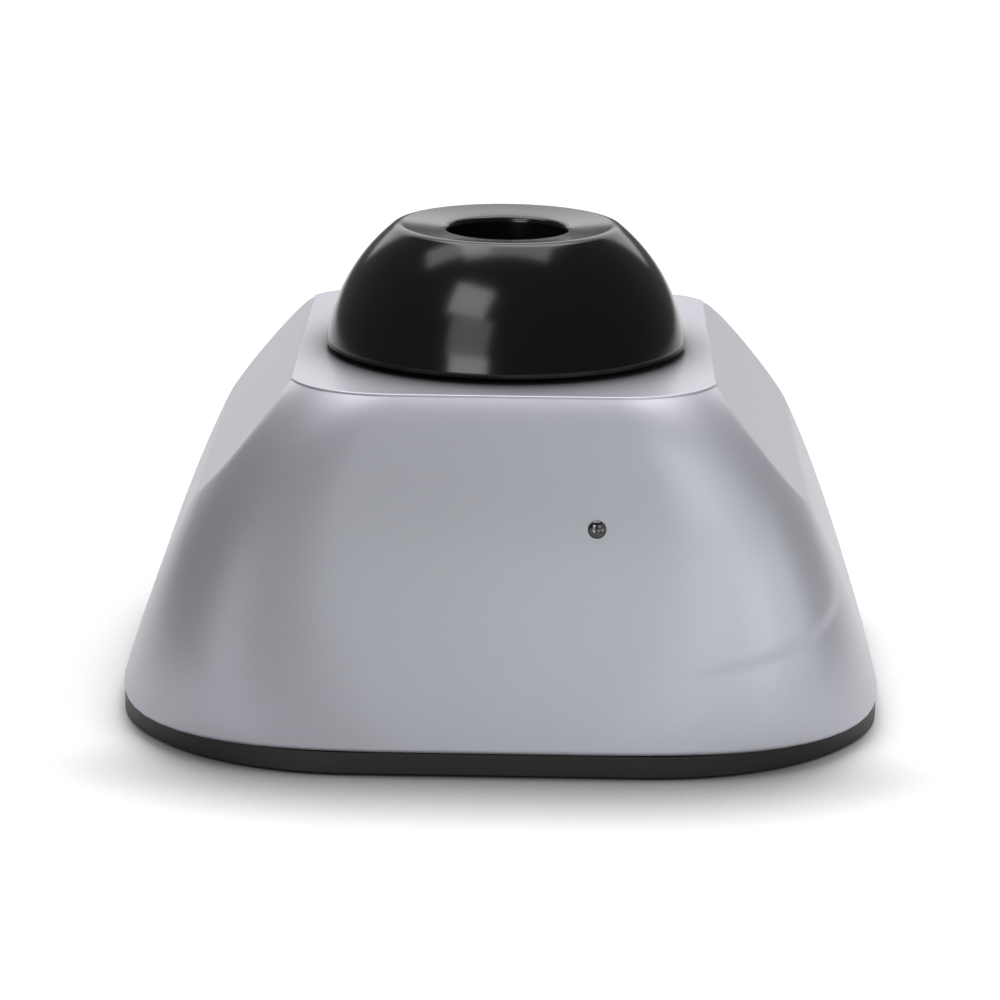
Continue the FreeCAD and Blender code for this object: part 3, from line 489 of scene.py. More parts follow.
class Shaper:
    """Plain meshes from rings of points, in millimetres."""

    @staticmethod
    def mesh(name: str, points: np.ndarray, faces: list[tuple[int, ...]],
             sharp: float = 40.0) -> bpy.types.Mesh:
        """A smooth-shaded mesh with outward normals.

        Args:
            name: the mesh's name.
            points: one row of three coordinates for each vertex, in millimetres.
            faces: vertex numbers of each face.
            sharp: edges that turn by more than this angle in degrees stay sharp.

        Returns:
            The mesh in metres.
        """
        made = bpy.data.meshes.new(name)
        made.from_pydata((np.asarray(points, float) * MM).tolist(), [], faces)
        work = bmesh.new()
        work.from_mesh(made)
        bmesh.ops.remove_doubles(work, verts=work.verts, dist=1e-7)
        bmesh.ops.recalc_face_normals(work, faces=work.faces)
        work.to_mesh(made)
        work.free()
        Shaper.smooth(made, sharp)
        return made

    @staticmethod
    def smooth(mesh: bpy.types.Mesh, sharp: float) -> None:
        """Shade a mesh smooth, with sharp edges over an angle in degrees."""
        mesh.polygons.foreach_set("use_smooth", [True] * len(mesh.polygons))
        mesh.set_sharp_from_angle(angle=math.radians(sharp))

    @staticmethod
    def loop(name: str, rings: Sequence[np.ndarray], sharp: float = 40.0) -> bpy.types.Mesh:
        """A closed skin through rings of points, the last joined to the first.

        Args:
            name: the mesh's name.
            rings: the rings, with equal point counts.
            sharp: edges over this angle in degrees stay sharp.

        Returns:
            The mesh in metres.
        """
        count, around = len(rings), len(rings[0])
        faces = []
        for i in range(count):
            low, high = i * around, ((i + 1) % count) * around
            for j in range(around):
                k = (j + 1) % around
                faces.append((low + j, low + k, high + k, high + j))
        return Shaper.mesh(name, np.concatenate(rings), faces, sharp)

    @staticmethod
    def lathe(name: str, profile: Profile, around: int = 96, sharp: float = 40.0,
              centre: tuple[float, float] = (0.0, 0.0)) -> bpy.types.Mesh:
        """A solid of revolution about an upright line.

        Args:
            name: the mesh's name.
            profile: radius and height pairs, closed on itself or on the axis.
            around: points round the axis.
            sharp: edges over this angle in degrees stay sharp.
            centre: where the axis stands.

        Returns:
            The mesh in metres.
        """
        x, y = centre
        turn = np.linspace(0.0, 2 * math.pi, around, endpoint=False)
        points, rows = [], []
        for radius, height in profile:
            if radius < 1e-6:
                rows.append([len(points)] * around)
                points.append((x, y, height))
                continue
            rows.append(list(range(len(points), len(points) + around)))
            points += [(x + radius * math.cos(a), y + radius * math.sin(a), height) for a in turn]
        faces = []
        closed = profile[0][0] > 1e-6 and profile[-1][0] > 1e-6
        for i in range(len(rows) if closed else len(rows) - 1):
            low, high = rows[i], rows[(i + 1) % len(rows)]
            for j in range(around):
                k = (j + 1) % around
                corner = list(dict.fromkeys((low[j], low[k], high[k], high[j])))
                if len(corner) > 2:
                    faces.append(tuple(corner))
        return Shaper.mesh(name, np.array(points), faces, sharp)

    @staticmethod
    def aim(mesh: bpy.types.Mesh, spot: Point, way: Point) -> None:
        """Turn an upright mesh along a direction and move it to a spot in millimetres."""
        turn = Vector(way).to_track_quat("Z", "Y").to_matrix().to_4x4()
        mesh.transform(Matrix.Translation(Vector(spot) * MM) @ turn)

    @staticmethod
    def rod(name: str, spot: Point, way: Point, radius: float, length: float) -> bpy.types.Mesh:
        """A closed cylinder.

        Args:
            name: the mesh's name.
            spot: its middle.
            way: the direction of its axis.
            radius: its radius.
            length: its whole length.

        Returns:
            The mesh in metres.
        """
        half = length / 2
        profile = [(0.0, -half), (radius, -half), (radius, half), (0.0, half)]
        made = Shaper.lathe(name, profile, 64)
        Shaper.aim(made, spot, way)
        return made

    @staticmethod
    def box(name: str, low: Point, high: Point) -> bpy.types.Mesh:
        """A plain box.

        Args:
            name: the mesh's name.
            low: its lowest corner.
            high: its highest corner.

        Returns:
            The mesh in metres.
        """
        xs, ys, zs = zip(low, high)
        points = [(x, y, z) for x in xs for y in ys for z in zs]
        faces = [(0, 1, 3, 2), (4, 6, 7, 5), (0, 4, 5, 1), (2, 3, 7, 6), (0, 2, 6, 4), (1, 5, 7, 3)]
        return Shaper.mesh(name, np.array(points), faces)

    @staticmethod
    def carve(mesh: bpy.types.Mesh, cutters: Sequence[bpy.types.Mesh],
              sharp: float = 40.0) -> bpy.types.Mesh:
        """Cut the shapes of other meshes out of a mesh.

        Args:
            mesh: the mesh that is cut.
            cutters: closed meshes whose insides are taken away.
            sharp: edges over this angle in degrees stay sharp.

        Returns:
            A new mesh.
        """
        host = bpy.data.objects.new("carve_host", mesh)
        tools = [bpy.data.objects.new("carve_tool", cutter) for cutter in cutters]
        for thing in [host] + tools:
            bpy.context.scene.collection.objects.link(thing)
        for tool in tools:
            step = host.modifiers.new("carve", "BOOLEAN")
            step.operation, step.solver, step.object = "DIFFERENCE", "EXACT", tool
        made = evaluated(host)
        for thing in [host] + tools:
            bpy.data.objects.remove(thing)
        Shaper.smooth(made, sharp)
        return made


def evaluated(host: bpy.types.Object) -> bpy.types.Mesh:
    """A plain mesh of an object with its modifiers."""
    graph = bpy.context.evaluated_depsgraph_get()
    return bpy.data.meshes.new_from_object(host.evaluated_get(graph))


def arc(centre: tuple[float, float], radius: float, start: float, end: float,
        steps: int = 8) -> Profile:
    """Points of an arc in a profile.

    Args:
        centre: radius and height of its middle.
        radius: its own radius.
        start: its first angle in degrees.
        end: its last angle in degrees.
        steps: how many points it has.

    Returns:
        Radius and height pairs.
    """
    return [
        (centre[0] + radius * math.cos(angle), centre[1] + radius * math.sin(angle))
        for angle in map(math.radians, np.linspace(start, end, steps))
    ]


def grey(tone: float) -> Colour:
    """A colour without a hue."""
    return (tone, tone, tone)


def node_middle(name: str) -> np.ndarray:
    """The middle of a frame node's box, in millimetres."""
    low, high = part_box(name)
    return (np.array(low) + np.array(high)) / 2 / MM


def piece(name: str, mesh: bpy.types.Mesh, finish: Finish, body: Body,
          *nodes: str) -> bpy.types.Object:
    """Put a finished mesh in the scene in the place of frame nodes.

    Args:
        name: the piece's name.
        mesh: its mesh, with its place in the vertices.
        finish: its surface finish.
        body: the body that it rides on.
        nodes: the frame nodes that it stands for.

    Returns:
        The new object.
    """
    made = bpy.data.objects.new(name, mesh)
    mesh.materials.clear()
    mesh.materials.append(finish.material())
    bpy.context.scene.collection.objects.link(made)
    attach(made, body.value)
    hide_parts(*nodes)
    return made


@dataclass
class CornerSet:
    """Four copies of a template at mirrored places, made with a node tree.

    Attributes:
        spread_x: sideways distance of a copy from the middle, in millimetres.
        spread_y: front-to-back distance of a copy from the middle, in millimetres.
    """

    spread_x: float
    spread_y: float

    INPUTS: ClassVar[dict[str, str]] = {
        "Template": "NodeSocketObject", "Finish": "NodeSocketMaterial",
        "Spread X": "NodeSocketFloat", "Spread Y": "NodeSocketFloat",
    }

    def tree(self) -> bpy.types.NodeTree:
        """Make the node tree once, for all corner sets.

        Returns:
            The node tree.
        """
        known = bpy.data.node_groups.get("corner_set")
        if known is not None:
            return known
        group = bpy.data.node_groups.new("corner_set", "GeometryNodeTree")
        for label, kind in self.INPUTS.items():
            group.interface.new_socket(label, in_out="INPUT", socket_type=kind)
        group.interface.new_socket("Copies", in_out="OUTPUT", socket_type="NodeSocketGeometry")
        new, link = group.nodes.new, group.links.new
        given, result = new("NodeGroupInput"), new("NodeGroupOutput")
        grid, info = new("GeometryNodeMeshGrid"), new("GeometryNodeObjectInfo")
        copies, real = new("GeometryNodeInstanceOnPoints"), new("GeometryNodeRealizeInstances")
        coat = new("GeometryNodeSetMaterial")
        grid.inputs["Vertices X"].default_value = 2
        grid.inputs["Vertices Y"].default_value = 2
        link(given.outputs["Spread X"], grid.inputs["Size X"])
        link(given.outputs["Spread Y"], grid.inputs["Size Y"])
        link(given.outputs["Template"], info.inputs["Object"])
        link(grid.outputs["Mesh"], copies.inputs["Points"])
        link(info.outputs["Geometry"], copies.inputs["Instance"])
        link(copies.outputs["Instances"], real.inputs["Geometry"])
        link(real.outputs["Geometry"], coat.inputs["Geometry"])
        link(given.outputs["Finish"], coat.inputs["Material"])
        link(coat.outputs["Geometry"], result.inputs["Copies"])
        return group

    def build(self, name: str, template: bpy.types.Mesh, finish: Finish) -> bpy.types.Mesh:
        """Copy a template mesh to the four places.

        Args:
            name: the name of the new mesh.
            template: the mesh that is copied, about the middle of its own place.
            finish: the finish of the copies.

        Returns:
            One plain mesh with all copies.
        """
        group = self.tree()
        pattern = bpy.data.objects.new(name + "_template", template)
        host = bpy.data.objects.new(name + "_host", bpy.data.meshes.new(name + "_empty"))
        for thing in (pattern, host):
            bpy.context.scene.collection.objects.link(thing)
        step = host.modifiers.new("copies", "NODES")
        step.node_group = group
        values = {"Template": pattern, "Finish": finish.material(),
                  "Spread X": 2 * self.spread_x * MM, "Spread Y": 2 * self.spread_y * MM}
        for socket in group.interface.items_tree:
            if socket.in_out == "INPUT":
                step[socket.identifier] = values[socket.name]
        made = evaluated(host)
        host.modifiers.remove(step)
        for thing in (host, pattern):
            bpy.data.objects.remove(thing)
        made.name = name
        return made


@dataclass(frozen=True)
class Level:
    """One level of the housing's outline, in millimetres.

    Attributes:
        height: height over the table.
        half_x: half the width.
        front: distance of the front from the middle.
        back: distance of the back from the middle.
        front_corner: size of the front corners.
        back_corner: size of the back corners.
        ease: how gently a corner begins and ends, from 0 for a plain arc to 1.
    """

    height: float
    half_x: float
    front: float
    back: float
    front_corner: float
    back_corner: float
    ease: float

    def inset(self, amount: float) -> "Level":
        """The same outline moved inwards all round.

        Args:
            amount: how far it moves.

        Returns:
            The inner outline.
        """
        corners = (max(c - amount, 0.5) for c in (self.front_corner, self.back_corner))
        return Level(self.height, self.half_x - amount, self.front - amount, self.back - amount,
                     *corners, self.ease)


@dataclass
class Housing:
    """The silver housing: a rounded pyramid with flat side facets, a thin shell open below.

    Attributes:
        levels: the outlines that the skin passes through, from the lowest up.
        stations: where those outlines lie on the rising curve, from 0 to 1.
        flat_half: half width of the flat top between the facets.
        facet_run: sideways run of a facet for each millimetre of drop.
        edge: rounding of the top's outer edge.
        low_edge: rounding of the lowest edge.
        wall: thickness of the shell at its lowest edge.
        wall_growth: how much thicker the shell is at the top, as a share.
        opening: radius of the opening in the top.
        lip_wall: thickness of the lip round the opening.
        lip_rise: height of the lip over the top.
        lip_round: bevel of the lip's edges.
        skirt_top: height of the skirt's upper line at the front.
        skirt_rise: how far that line rises round a corner.
        skirt_flare: extra sideways run of the skirt for each millimetre of drop.
        skirt_step: how far the skirt stands out at its upper line, or back if negative.
        window_radius: radius of the indicator's hole.
        window_depth: length of the cut for that hole.
        inlet_radius: radius of the inlet's hole in the back.
        inlet_depth: length of the cut for that hole.
        side_steps: points along one side of an outline.
        corner_steps: points round one corner of an outline.
        rows: rings of points between the lowest edge and the top.
        sharp: edges over this angle in degrees stay sharp.
    """

    levels: Sequence[Level] = (
        Level(3.3, 51.8, 51.8, 51.8, 40.5, 40.5, 0.75),
        Level(24.0, 44.4, 46.2, 48.0, 23.0, 18.0, 0.6),
        Level(37.0, 37.7, 40.8, 44.6, 17.5, 10.0, 0.4),
        Level(46.9, 28.7, 33.5, 34.6, 14.5, 9.0, 0.25),
    )
    stations: Sequence[float] = (0.0, 0.42, 0.70, 1.0)
    flat_half: float = 28.15
    facet_run: float = 0.82
    edge: float = 0.3
    low_edge: float = 0.5
    wall: float = 2.2
    wall_growth: float = 0.7
    opening: float = 13.5
    lip_wall: float = 1.5
    lip_rise: float = 1.0
    lip_round: float = 0.3
    skirt_top: float = 13.0
    skirt_rise: float = 12.0
    skirt_flare: float = 0.03
    skirt_step: float = -0.3
    window_radius: float = 1.2
    window_depth: float = 6.0
    inlet_radius: float = 4.15
    inlet_depth: float = 60.0
    side_steps: int = 26
    corner_steps: int = 34
    rows: int = 150
    sharp: float = 35.0

    # Each corner's sideways and front-to-back signs, with the angle where it begins.
    CORNERS: ClassVar[dict[tuple[int, int], float]] = {
        (1, -1): -90.0, (1, 1): 0.0, (-1, 1): 90.0, (-1, -1): 180.0,
    }

    def level(self, station: float) -> Level:
        """The outline at a station, from a cubic through the given levels.

        Args:
            station: place on the rising curve, from 0 to 1.

        Returns:
            The outline.
        """
        shares = []
        for i, own in enumerate(self.stations):
            others = [other for j, other in enumerate(self.stations) if j != i]
            shares.append(np.prod([(station - other) / (own - other) for other in others]))
        return Level(*(
            float(sum(share * getattr(level, key) for share, level in zip(shares, self.levels)))
            for key in ("height", "half_x", "front", "back", "front_corner", "back_corner", "ease")
        ))

    def at_height(self, height: float) -> Level:
        """The outline at a height, found by halving.

        Args:
            height: height over the table.

        Returns:
            The outline.
        """
        low, high = 0.0, 1.0
        for _ in range(40):
            middle = (low + high) / 2
            if self.level(middle).height < height:
                low = middle
            else:
                high = middle
        return self.level(low)

    def limit(self, height: float) -> float:
        """How far the side facets let the housing reach sideways at a height."""
        return self.flat_half + self.facet_run * (self.levels[-1].height - height)

    def lean(self, height: float, share: np.ndarray) -> np.ndarray:
        """How far the skirt stands out, below a line that rises to the side.

        Args:
            height: height over the table.
            share: how far round the corner, from 0 at the front to 1 at the side.

        Returns:
            How far each point moves outwards.
        """
        depth = self.skirt_top + self.skirt_rise * share ** 1.5 - height
        step = self.skirt_step * np.clip(depth + 0.5, 0.0, 1.0)
        flare = self.skirt_flare * np.clip(depth, 0.0, None)
        return (step + flare) * np.sin(np.pi * share) ** 2

    def corner(self, level: Level, sx: int, sy: int) -> np.ndarray:
        """Points round one corner, with one point where a facet cuts it.

        Args:
            level: the outline.
            sx: 1 for a right corner, -1 for a left one.
            sy: 1 for a back corner, -1 for a front one.

        Returns:
            One row of two coordinates for each point, counter-clockwise.
        """
        size = level.front_corner if sy < 0 else level.back_corner
        reach = level.front if sy < 0 else level.back
        begin = self.CORNERS[sx, sy]
        share = np.linspace(0.0, 1.0, 400)
        # The direction turns by a quarter, slowly at both ends, and the path follows it.
        eased = share - level.ease * np.sin(2 * np.pi * share) / (2 * np.pi)
        normal = np.radians(begin + 90.0 * eased)
        step = np.column_stack([-np.sin(normal), np.cos(normal)])
        path = np.concatenate([np.zeros((1, 2)), np.cumsum((step[1:] + step[:-1]) / 2, axis=0)])
        path *= size / np.abs(path[-1])
        path += (sx * (level.half_x - size), sy * (reach - size))
        path += size * np.array([np.cos(np.radians(begin)), np.sin(np.radians(begin))])
        if (sx, sy) == (1, -1):
            outward = np.column_stack([np.cos(normal), np.sin(normal)])
            path += outward * self.lean(level.height, share)[:, None]
        # One point lies where the facet begins, so that its edge is clean.
        inside = np.searchsorted(np.sort(np.abs(path[:, 0])), self.limit(level.height))
        cut = np.clip(inside / len(share), 0.1, 0.97)
        cut = cut if sx * sy < 0 else 1.0 - cut
        half = self.corner_steps // 2
        first = np.linspace(0.0, cut, half, endpoint=False)
        kept = np.concatenate([first, np.linspace(cut, 1.0, half)])
        return np.column_stack([np.interp(kept, share, path[:, axis]) for axis in (0, 1)])

    def ring(self, level: Level) -> np.ndarray:
        """Points round an outline, cut by the facets.

        Args:
            level: the outline.

        Returns:
            One row of three coordinates for each point, counter-clockwise.
        """
        corners = [self.corner(level, sx, sy) for sx, sy in self.CORNERS]
        parts = []
        for i, corner in enumerate(corners):
            start, end = corner[-1], corners[(i + 1) % 4][0]
            step = np.linspace(0.0, 1.0, self.side_steps + 2)[1:-1, None]
            parts += [corner, start * (1 - step) + end * step]
        points = np.concatenate(parts)
        limit = self.limit(level.height)
        points[:, 0] = np.clip(points[:, 0], -limit, limit)
        return np.column_stack([points, np.full(len(points), level.height)])

    def round_ring(self, radius: float, height: float) -> np.ndarray:
        """A circle whose points lie in the directions of the top outline's points.

        Args:
            radius: the circle's radius.
            height: height over the table.

        Returns:
            One row of three coordinates for each point.
        """
        outline = self.ring(self.levels[-1])
        turn = np.arctan2(outline[:, 1], outline[:, 0])
        level = np.full(len(turn), height)
        return np.column_stack([radius * np.cos(turn), radius * np.sin(turn), level])

    def rounded_ring(self, level: Level, radius: float, angle: float, sign: int) -> np.ndarray:
        """A ring of a rounded upper or lower edge.

        Args:
            level: the outline where the rounding begins.
            radius: radius of the rounding.
            angle: how far round the edge, from 0 to 90 degrees.
            sign: 1 for an upper edge, -1 for a lower one.

        Returns:
            One row of three coordinates for each point.
        """
        ring = self.ring(level)
        outward = ring[:, :2] - np.array([0.0, (level.back - level.front) / 2])
        outward /= np.linalg.norm(outward, axis=1)[:, None]
        ring[:, :2] -= outward * radius * (1 - math.cos(math.radians(angle)))
        ring[:, 2] = level.height + sign * radius * math.sin(math.radians(angle))
        return ring

    def skin(self) -> bpy.types.Mesh:
        """The whole shell as one closed skin: up the outside, over the lip and down the inside.

        Returns:
            The mesh in metres.
        """
        top, bottom = self.levels[-1].height, self.levels[0].height
        low, high = self.at_height(bottom + self.low_edge), self.at_height(top - self.edge)
        heights = np.linspace(low.height, high.height, self.rows)[1:]
        rings = [self.rounded_ring(low, self.low_edge, a, -1) for a in np.linspace(90.0, 0.0, 6)]
        rings += [self.ring(self.at_height(z)) for z in heights]
        rings += [self.rounded_ring(high, self.edge, a, 1) for a in np.linspace(0.0, 90.0, 8)[1:]]
        lip, lip_top = self.opening + self.lip_wall, top + self.lip_rise
        rim, target = rings[-1], self.round_ring(lip, top)
        rings += [rim * (1 - t) + target * t for t in (0.03, 0.15, 0.45, 0.8)]
        rings += [self.round_ring(radius, height) for radius, height in (
            (lip, top),
            (lip, lip_top - self.lip_round),
            (lip - self.lip_round, lip_top),
            (self.opening + self.lip_round, lip_top),
            (self.opening, lip_top - self.lip_round),
            (self.opening, top - self.wall),
        )]
        for z in np.linspace(top - self.wall, bottom, 20):
            wall = self.wall * (1.0 + self.wall_growth * (z - bottom) / (top - bottom))
            rings.append(self.ring(self.at_height(z).inset(wall)))
        return Shaper.loop("upper_housing", rings, self.sharp)

    def build(self) -> list[bpy.types.Object]:
        """Put the housing in the scene, with its indicator window and its inlet hole.

        Returns:
            The housing's object.
        """
        window = Shaper.rod("window", node_middle("indicator_lens"), Indicator(self).way(),
                            self.window_radius, self.window_depth)
        hole = Shaper.rod("inlet_hole", node_middle("inlet_body"), (0.0, 1.0, 0.0),
                          self.inlet_radius, self.inlet_depth)
        mesh = Shaper.carve(self.skin(), [window, hole], self.sharp)
        return [piece("silver_housing", mesh, SILVER, Body.BASE, "upper_housing")]


@dataclass
class Indicator:
    """The small dark lens in the front, with a domed face.

    Attributes:
        housing: the housing that it sits in.
        radius: its radius.
        half: half its length without the dome.
        rim: rounding of its front edge.
        dome: height of the dome.
    """

    housing: Housing
    radius: float = 1.12
    half: float = 1.5
    rim: float = 0.15
    dome: float = 0.3

    def way(self) -> np.ndarray:
        """The direction square to the housing's front at the lens.

        Returns:
            A vector of length 1.
        """
        height = node_middle("indicator_lens")[2]
        above, below = self.housing.at_height(height + 1), self.housing.at_height(height - 1)
        way = np.array([0.0, -1.0, (below.front - above.front) / 2])
        return way / np.linalg.norm(way)

    def build(self) -> list[bpy.types.Object]:
        """Put the lens in the scene.

        Returns:
            The lens's object.
        """
        neck = self.half - self.rim
        profile = [(0.0, -self.half), (self.radius, -self.half), (self.radius, neck)]
        profile += arc((self.radius - self.rim, neck), self.rim, 0.0, 70.0, 4)[1:]
        for share, rise in ((0.6, 0.7), (0.3, 0.93), (0.0, 1.0)):
            profile.append((self.radius * share, self.half + self.dome * rise))
        mesh = Shaper.lathe("indicator_lens", profile, 48, 50.0)
        Shaper.aim(mesh, node_middle("indicator_lens"), self.way())
        return [piece("indicator_dome", mesh, LENS, Body.BASE, "indicator_lens")]


@dataclass
class Cup:
    """The glossy rubber cup: a round-shouldered bell with a dished rim and a tube hole.

    Attributes:
        centre: where its axis stands at rest.
        bottom: height of its lower edge.
        round_centre: height of the middle of its round side.
        radius: radius of its round side.
        top: height of its rim.
        rim: rounding of the rim.
        dish_run: where the dished rim ends, outwards from the hole.
        dish_drop: how far the dish lies below the rim there.
        hole: radius of the tube hole.
        hole_edge: rounding of the hole's edge.
        hole_drop: depth of that rounding's middle below the rim.
        floor: height of the hole's floor.
        fillet: rounding round the floor.
        dimple: radius of the flat dimple in the floor.
        dimple_depth: depth of the dimple.
        flange: radius of the groove that holds the cup.
        groove_low: height of the groove's lower side.
        groove_high: height of the groove's upper side.
        mouth: radius of the opening below the groove.
    """

    centre: tuple[float, float] = (0.0, -2.25)
    bottom: float = 47.5
    round_centre: float = 44.1
    radius: float = 25.1
    top: float = 64.0
    rim: float = 1.9
    dish_run: float = 2.2
    dish_drop: float = 0.42
    hole: float = 8.3
    hole_edge: float = 0.8
    hole_drop: float = 1.4
    floor: float = 53.7
    fillet: float = 1.0
    dimple: float = 4.0
    dimple_depth: float = 0.3
    flange: float = 19.1
    groove_low: float = 48.7
    groove_high: float = 51.1
    mouth: float = 18.2

    def profile(self) -> Profile:
        """The bell's outline, from its mouth up the outside and down the inside.

        Returns:
            Radius and height pairs, closed on itself.
        """
        rim_rise = self.top - self.rim - self.round_centre
        rim_radius = math.sqrt((self.radius - self.rim) ** 2 - rim_rise ** 2)
        tilt = math.degrees(math.atan2(rim_rise, rim_radius))
        low = math.degrees(math.asin((self.bottom + 0.5 - self.round_centre) / self.radius))
        edge = self.radius * math.cos(math.radians(low))
        pit = self.floor - self.dimple_depth
        return [
            (self.mouth, self.bottom),
            (edge - 0.2, self.bottom),
            (edge - 0.05, self.bottom + 0.1),
            *arc((0.0, self.round_centre), self.radius, low, tilt, 48),
            *arc((rim_radius, self.top - self.rim), self.rim, tilt, 104.0, 14)[1:],
            (self.hole + self.dish_run, self.top - self.dish_drop),
            *arc((self.hole + self.hole_edge, self.top - self.hole_drop), self.hole_edge,
                 92.0, 180.0, 7),
            (self.hole, self.floor + self.fillet),
            *arc((self.hole - self.fillet, self.floor + self.fillet), self.fillet,
                 0.0, -90.0, 6)[1:],
            (self.dimple, self.floor),
            (self.dimple - 0.4, pit),
            (0.0, pit),
            (0.0, self.groove_high),
            (self.flange, self.groove_high),
            (self.flange, self.groove_low),
            (self.mouth, self.groove_low),
        ]

    def build(self) -> list[bpy.types.Object]:
        """Put the cup in the scene."""
        mesh = Shaper.lathe("rubber_cup", self.profile(), 160, 35.0, self.centre)
        return [piece("rubber_cup_bell", mesh, GLOSS_RUBBER, Body.CUP, "rubber_cup")]


@dataclass
class Underside:
    """The rubber feet and the housing screws, four of each.

    Attributes:
        foot_spread: sideways and front-to-back distance of a foot from the middle.
        foot_radius: radius of a foot.
        foot_top: height of a foot.
        foot_round: rounding of a foot's lower edge.
        grooves: radii of the grip grooves in a foot.
        groove_depth: depth of a grip groove.
        screw_spread: sideways and front-to-back distance of a screw from the middle.
        head_radius: radius of a screw's head.
        head_low: height of the head's lowest point.
        head_top: height of the head's upper side.
        head_round: rounding of the head's edge.
        shank: radius of a screw's shank.
        shank_top: height of the shank's end.
        recess_half: half the length of an arm of the cross recess.
        recess_wall: half the width of such an arm.
        recess_depth: depth of the cross recess.
    """

    foot_spread: tuple[float, float] = (36.0, 22.0)
    foot_radius: float = 6.5
    foot_top: float = 1.2
    foot_round: float = 0.35
    grooves: Sequence[float] = (1.8, 4.2)
    groove_depth: float = 0.25
    screw_spread: tuple[float, float] = (33.5, 33.5)
    head_radius: float = 2.8
    head_low: float = 0.42
    head_top: float = 1.7
    head_round: float = 0.6
    shank: float = 1.48
    shank_top: float = 13.0
    recess_half: float = 1.5
    recess_wall: float = 0.3
    recess_depth: float = 0.75

    def foot(self) -> bpy.types.Mesh:
        """A rubber foot with two grip grooves below.

        Returns:
            The mesh about its own axis.
        """
        profile = [(0.0, 0.0)]
        for groove in self.grooves:
            profile += [(groove - 0.2, 0.0), (groove, self.groove_depth),
                        (groove + 0.5, self.groove_depth), (groove + 0.7, 0.0)]
        turn = (self.foot_radius - self.foot_round, self.foot_round)
        profile += arc(turn, self.foot_round, -90.0, 0.0, 6)
        profile += [(self.foot_radius, self.foot_top), (0.0, self.foot_top)]
        return Shaper.lathe("foot", profile, 64)

    def screw(self) -> bpy.types.Mesh:
        """A pan-head screw, head down, with a cross recess.

        Returns:
            The mesh about its own axis.
        """
        profile = [(0.0, self.head_low), (self.head_radius - 0.7, self.head_low + 0.06)]
        turn = (self.head_radius - self.head_round, self.head_low + self.head_round + 0.06)
        profile += arc(turn, self.head_round, -80.0, 0.0, 6)
        profile += [(self.head_radius, self.head_top), (self.shank, self.head_top)]
        profile += [(self.shank, self.shank_top), (0.0, self.shank_top)]
        arms = [
            Shaper.box("arm", (-x, -y, 0.0), (x, y, self.head_low + self.recess_depth))
            for x, y in ((self.recess_half, self.recess_wall), (self.recess_wall, self.recess_half))
        ]
        return Shaper.carve(Shaper.lathe("screw", profile, 48), arms)

    def build(self) -> list[bpy.types.Object]:
        """Put the feet and the screws in the scene.

        Returns:
            The object of the feet and that of the screws.
        """
        feet = CornerSet(*self.foot_spread).build("feet", self.foot(), BLACK_RUBBER)
        screws = CornerSet(*self.screw_spread).build("screws", self.screw(), ZINC_STEEL)
        return [
            piece("rubber_feet_set", feet, BLACK_RUBBER, Body.BASE, "rubber_feet"),
            piece("housing_screw_set", screws, ZINC_STEEL, Body.BASE, "housing_screws"),
        ]


@dataclass(frozen=True)
class Lamp:
    """A soft rectangular light on a sphere round the object.

    Attributes:
        name: the light's name.
        turn: degrees round the object from the front, to the right.
        rise: degrees above the table.
        power: watts.
        size: width and height in metres.
        reach: distance from the object in metres.
        tint: colour of the light.
        shaded: pieces that a flag keeps this light from.
    """

    name: str
    turn: float
    rise: float
    power: float
    size: tuple[float, float] = (0.4, 0.4)
    reach: float = 0.9
    tint: Colour = WHITE
    shaded: tuple[str, ...] = ()

    def build(self) -> None:
        """Hang the light up, facing the object, with the pieces that it leaves out."""
        turn, rise = math.radians(self.turn), math.radians(self.rise)
        ahead = Vector((math.sin(turn), -math.cos(turn), 0.0))
        way = ahead * math.cos(rise) + Vector((0.0, 0.0, math.sin(rise)))
        data = bpy.data.lights.new(self.name, "AREA")
        data.shape, data.size, data.size_y = "RECTANGLE", *self.size
        data.energy, data.color = self.power, self.tint
        made = bpy.data.objects.new(self.name, data)
        made.location = way * self.reach + Vector((0.0, 0.0, 0.03))
        made.rotation_euler = (-way).to_track_quat("-Z", "Y").to_euler()
        bpy.context.scene.collection.objects.link(made)
        if self.shaded:
            flag = bpy.data.collections.new(self.name + "_flag")
            for name in self.shaded:
                flag.objects.link(bpy.data.objects[name])
                flag.collection_objects[-1].light_linking.link_state = "EXCLUDE"
            made.light_linking.receiver_collection = flag


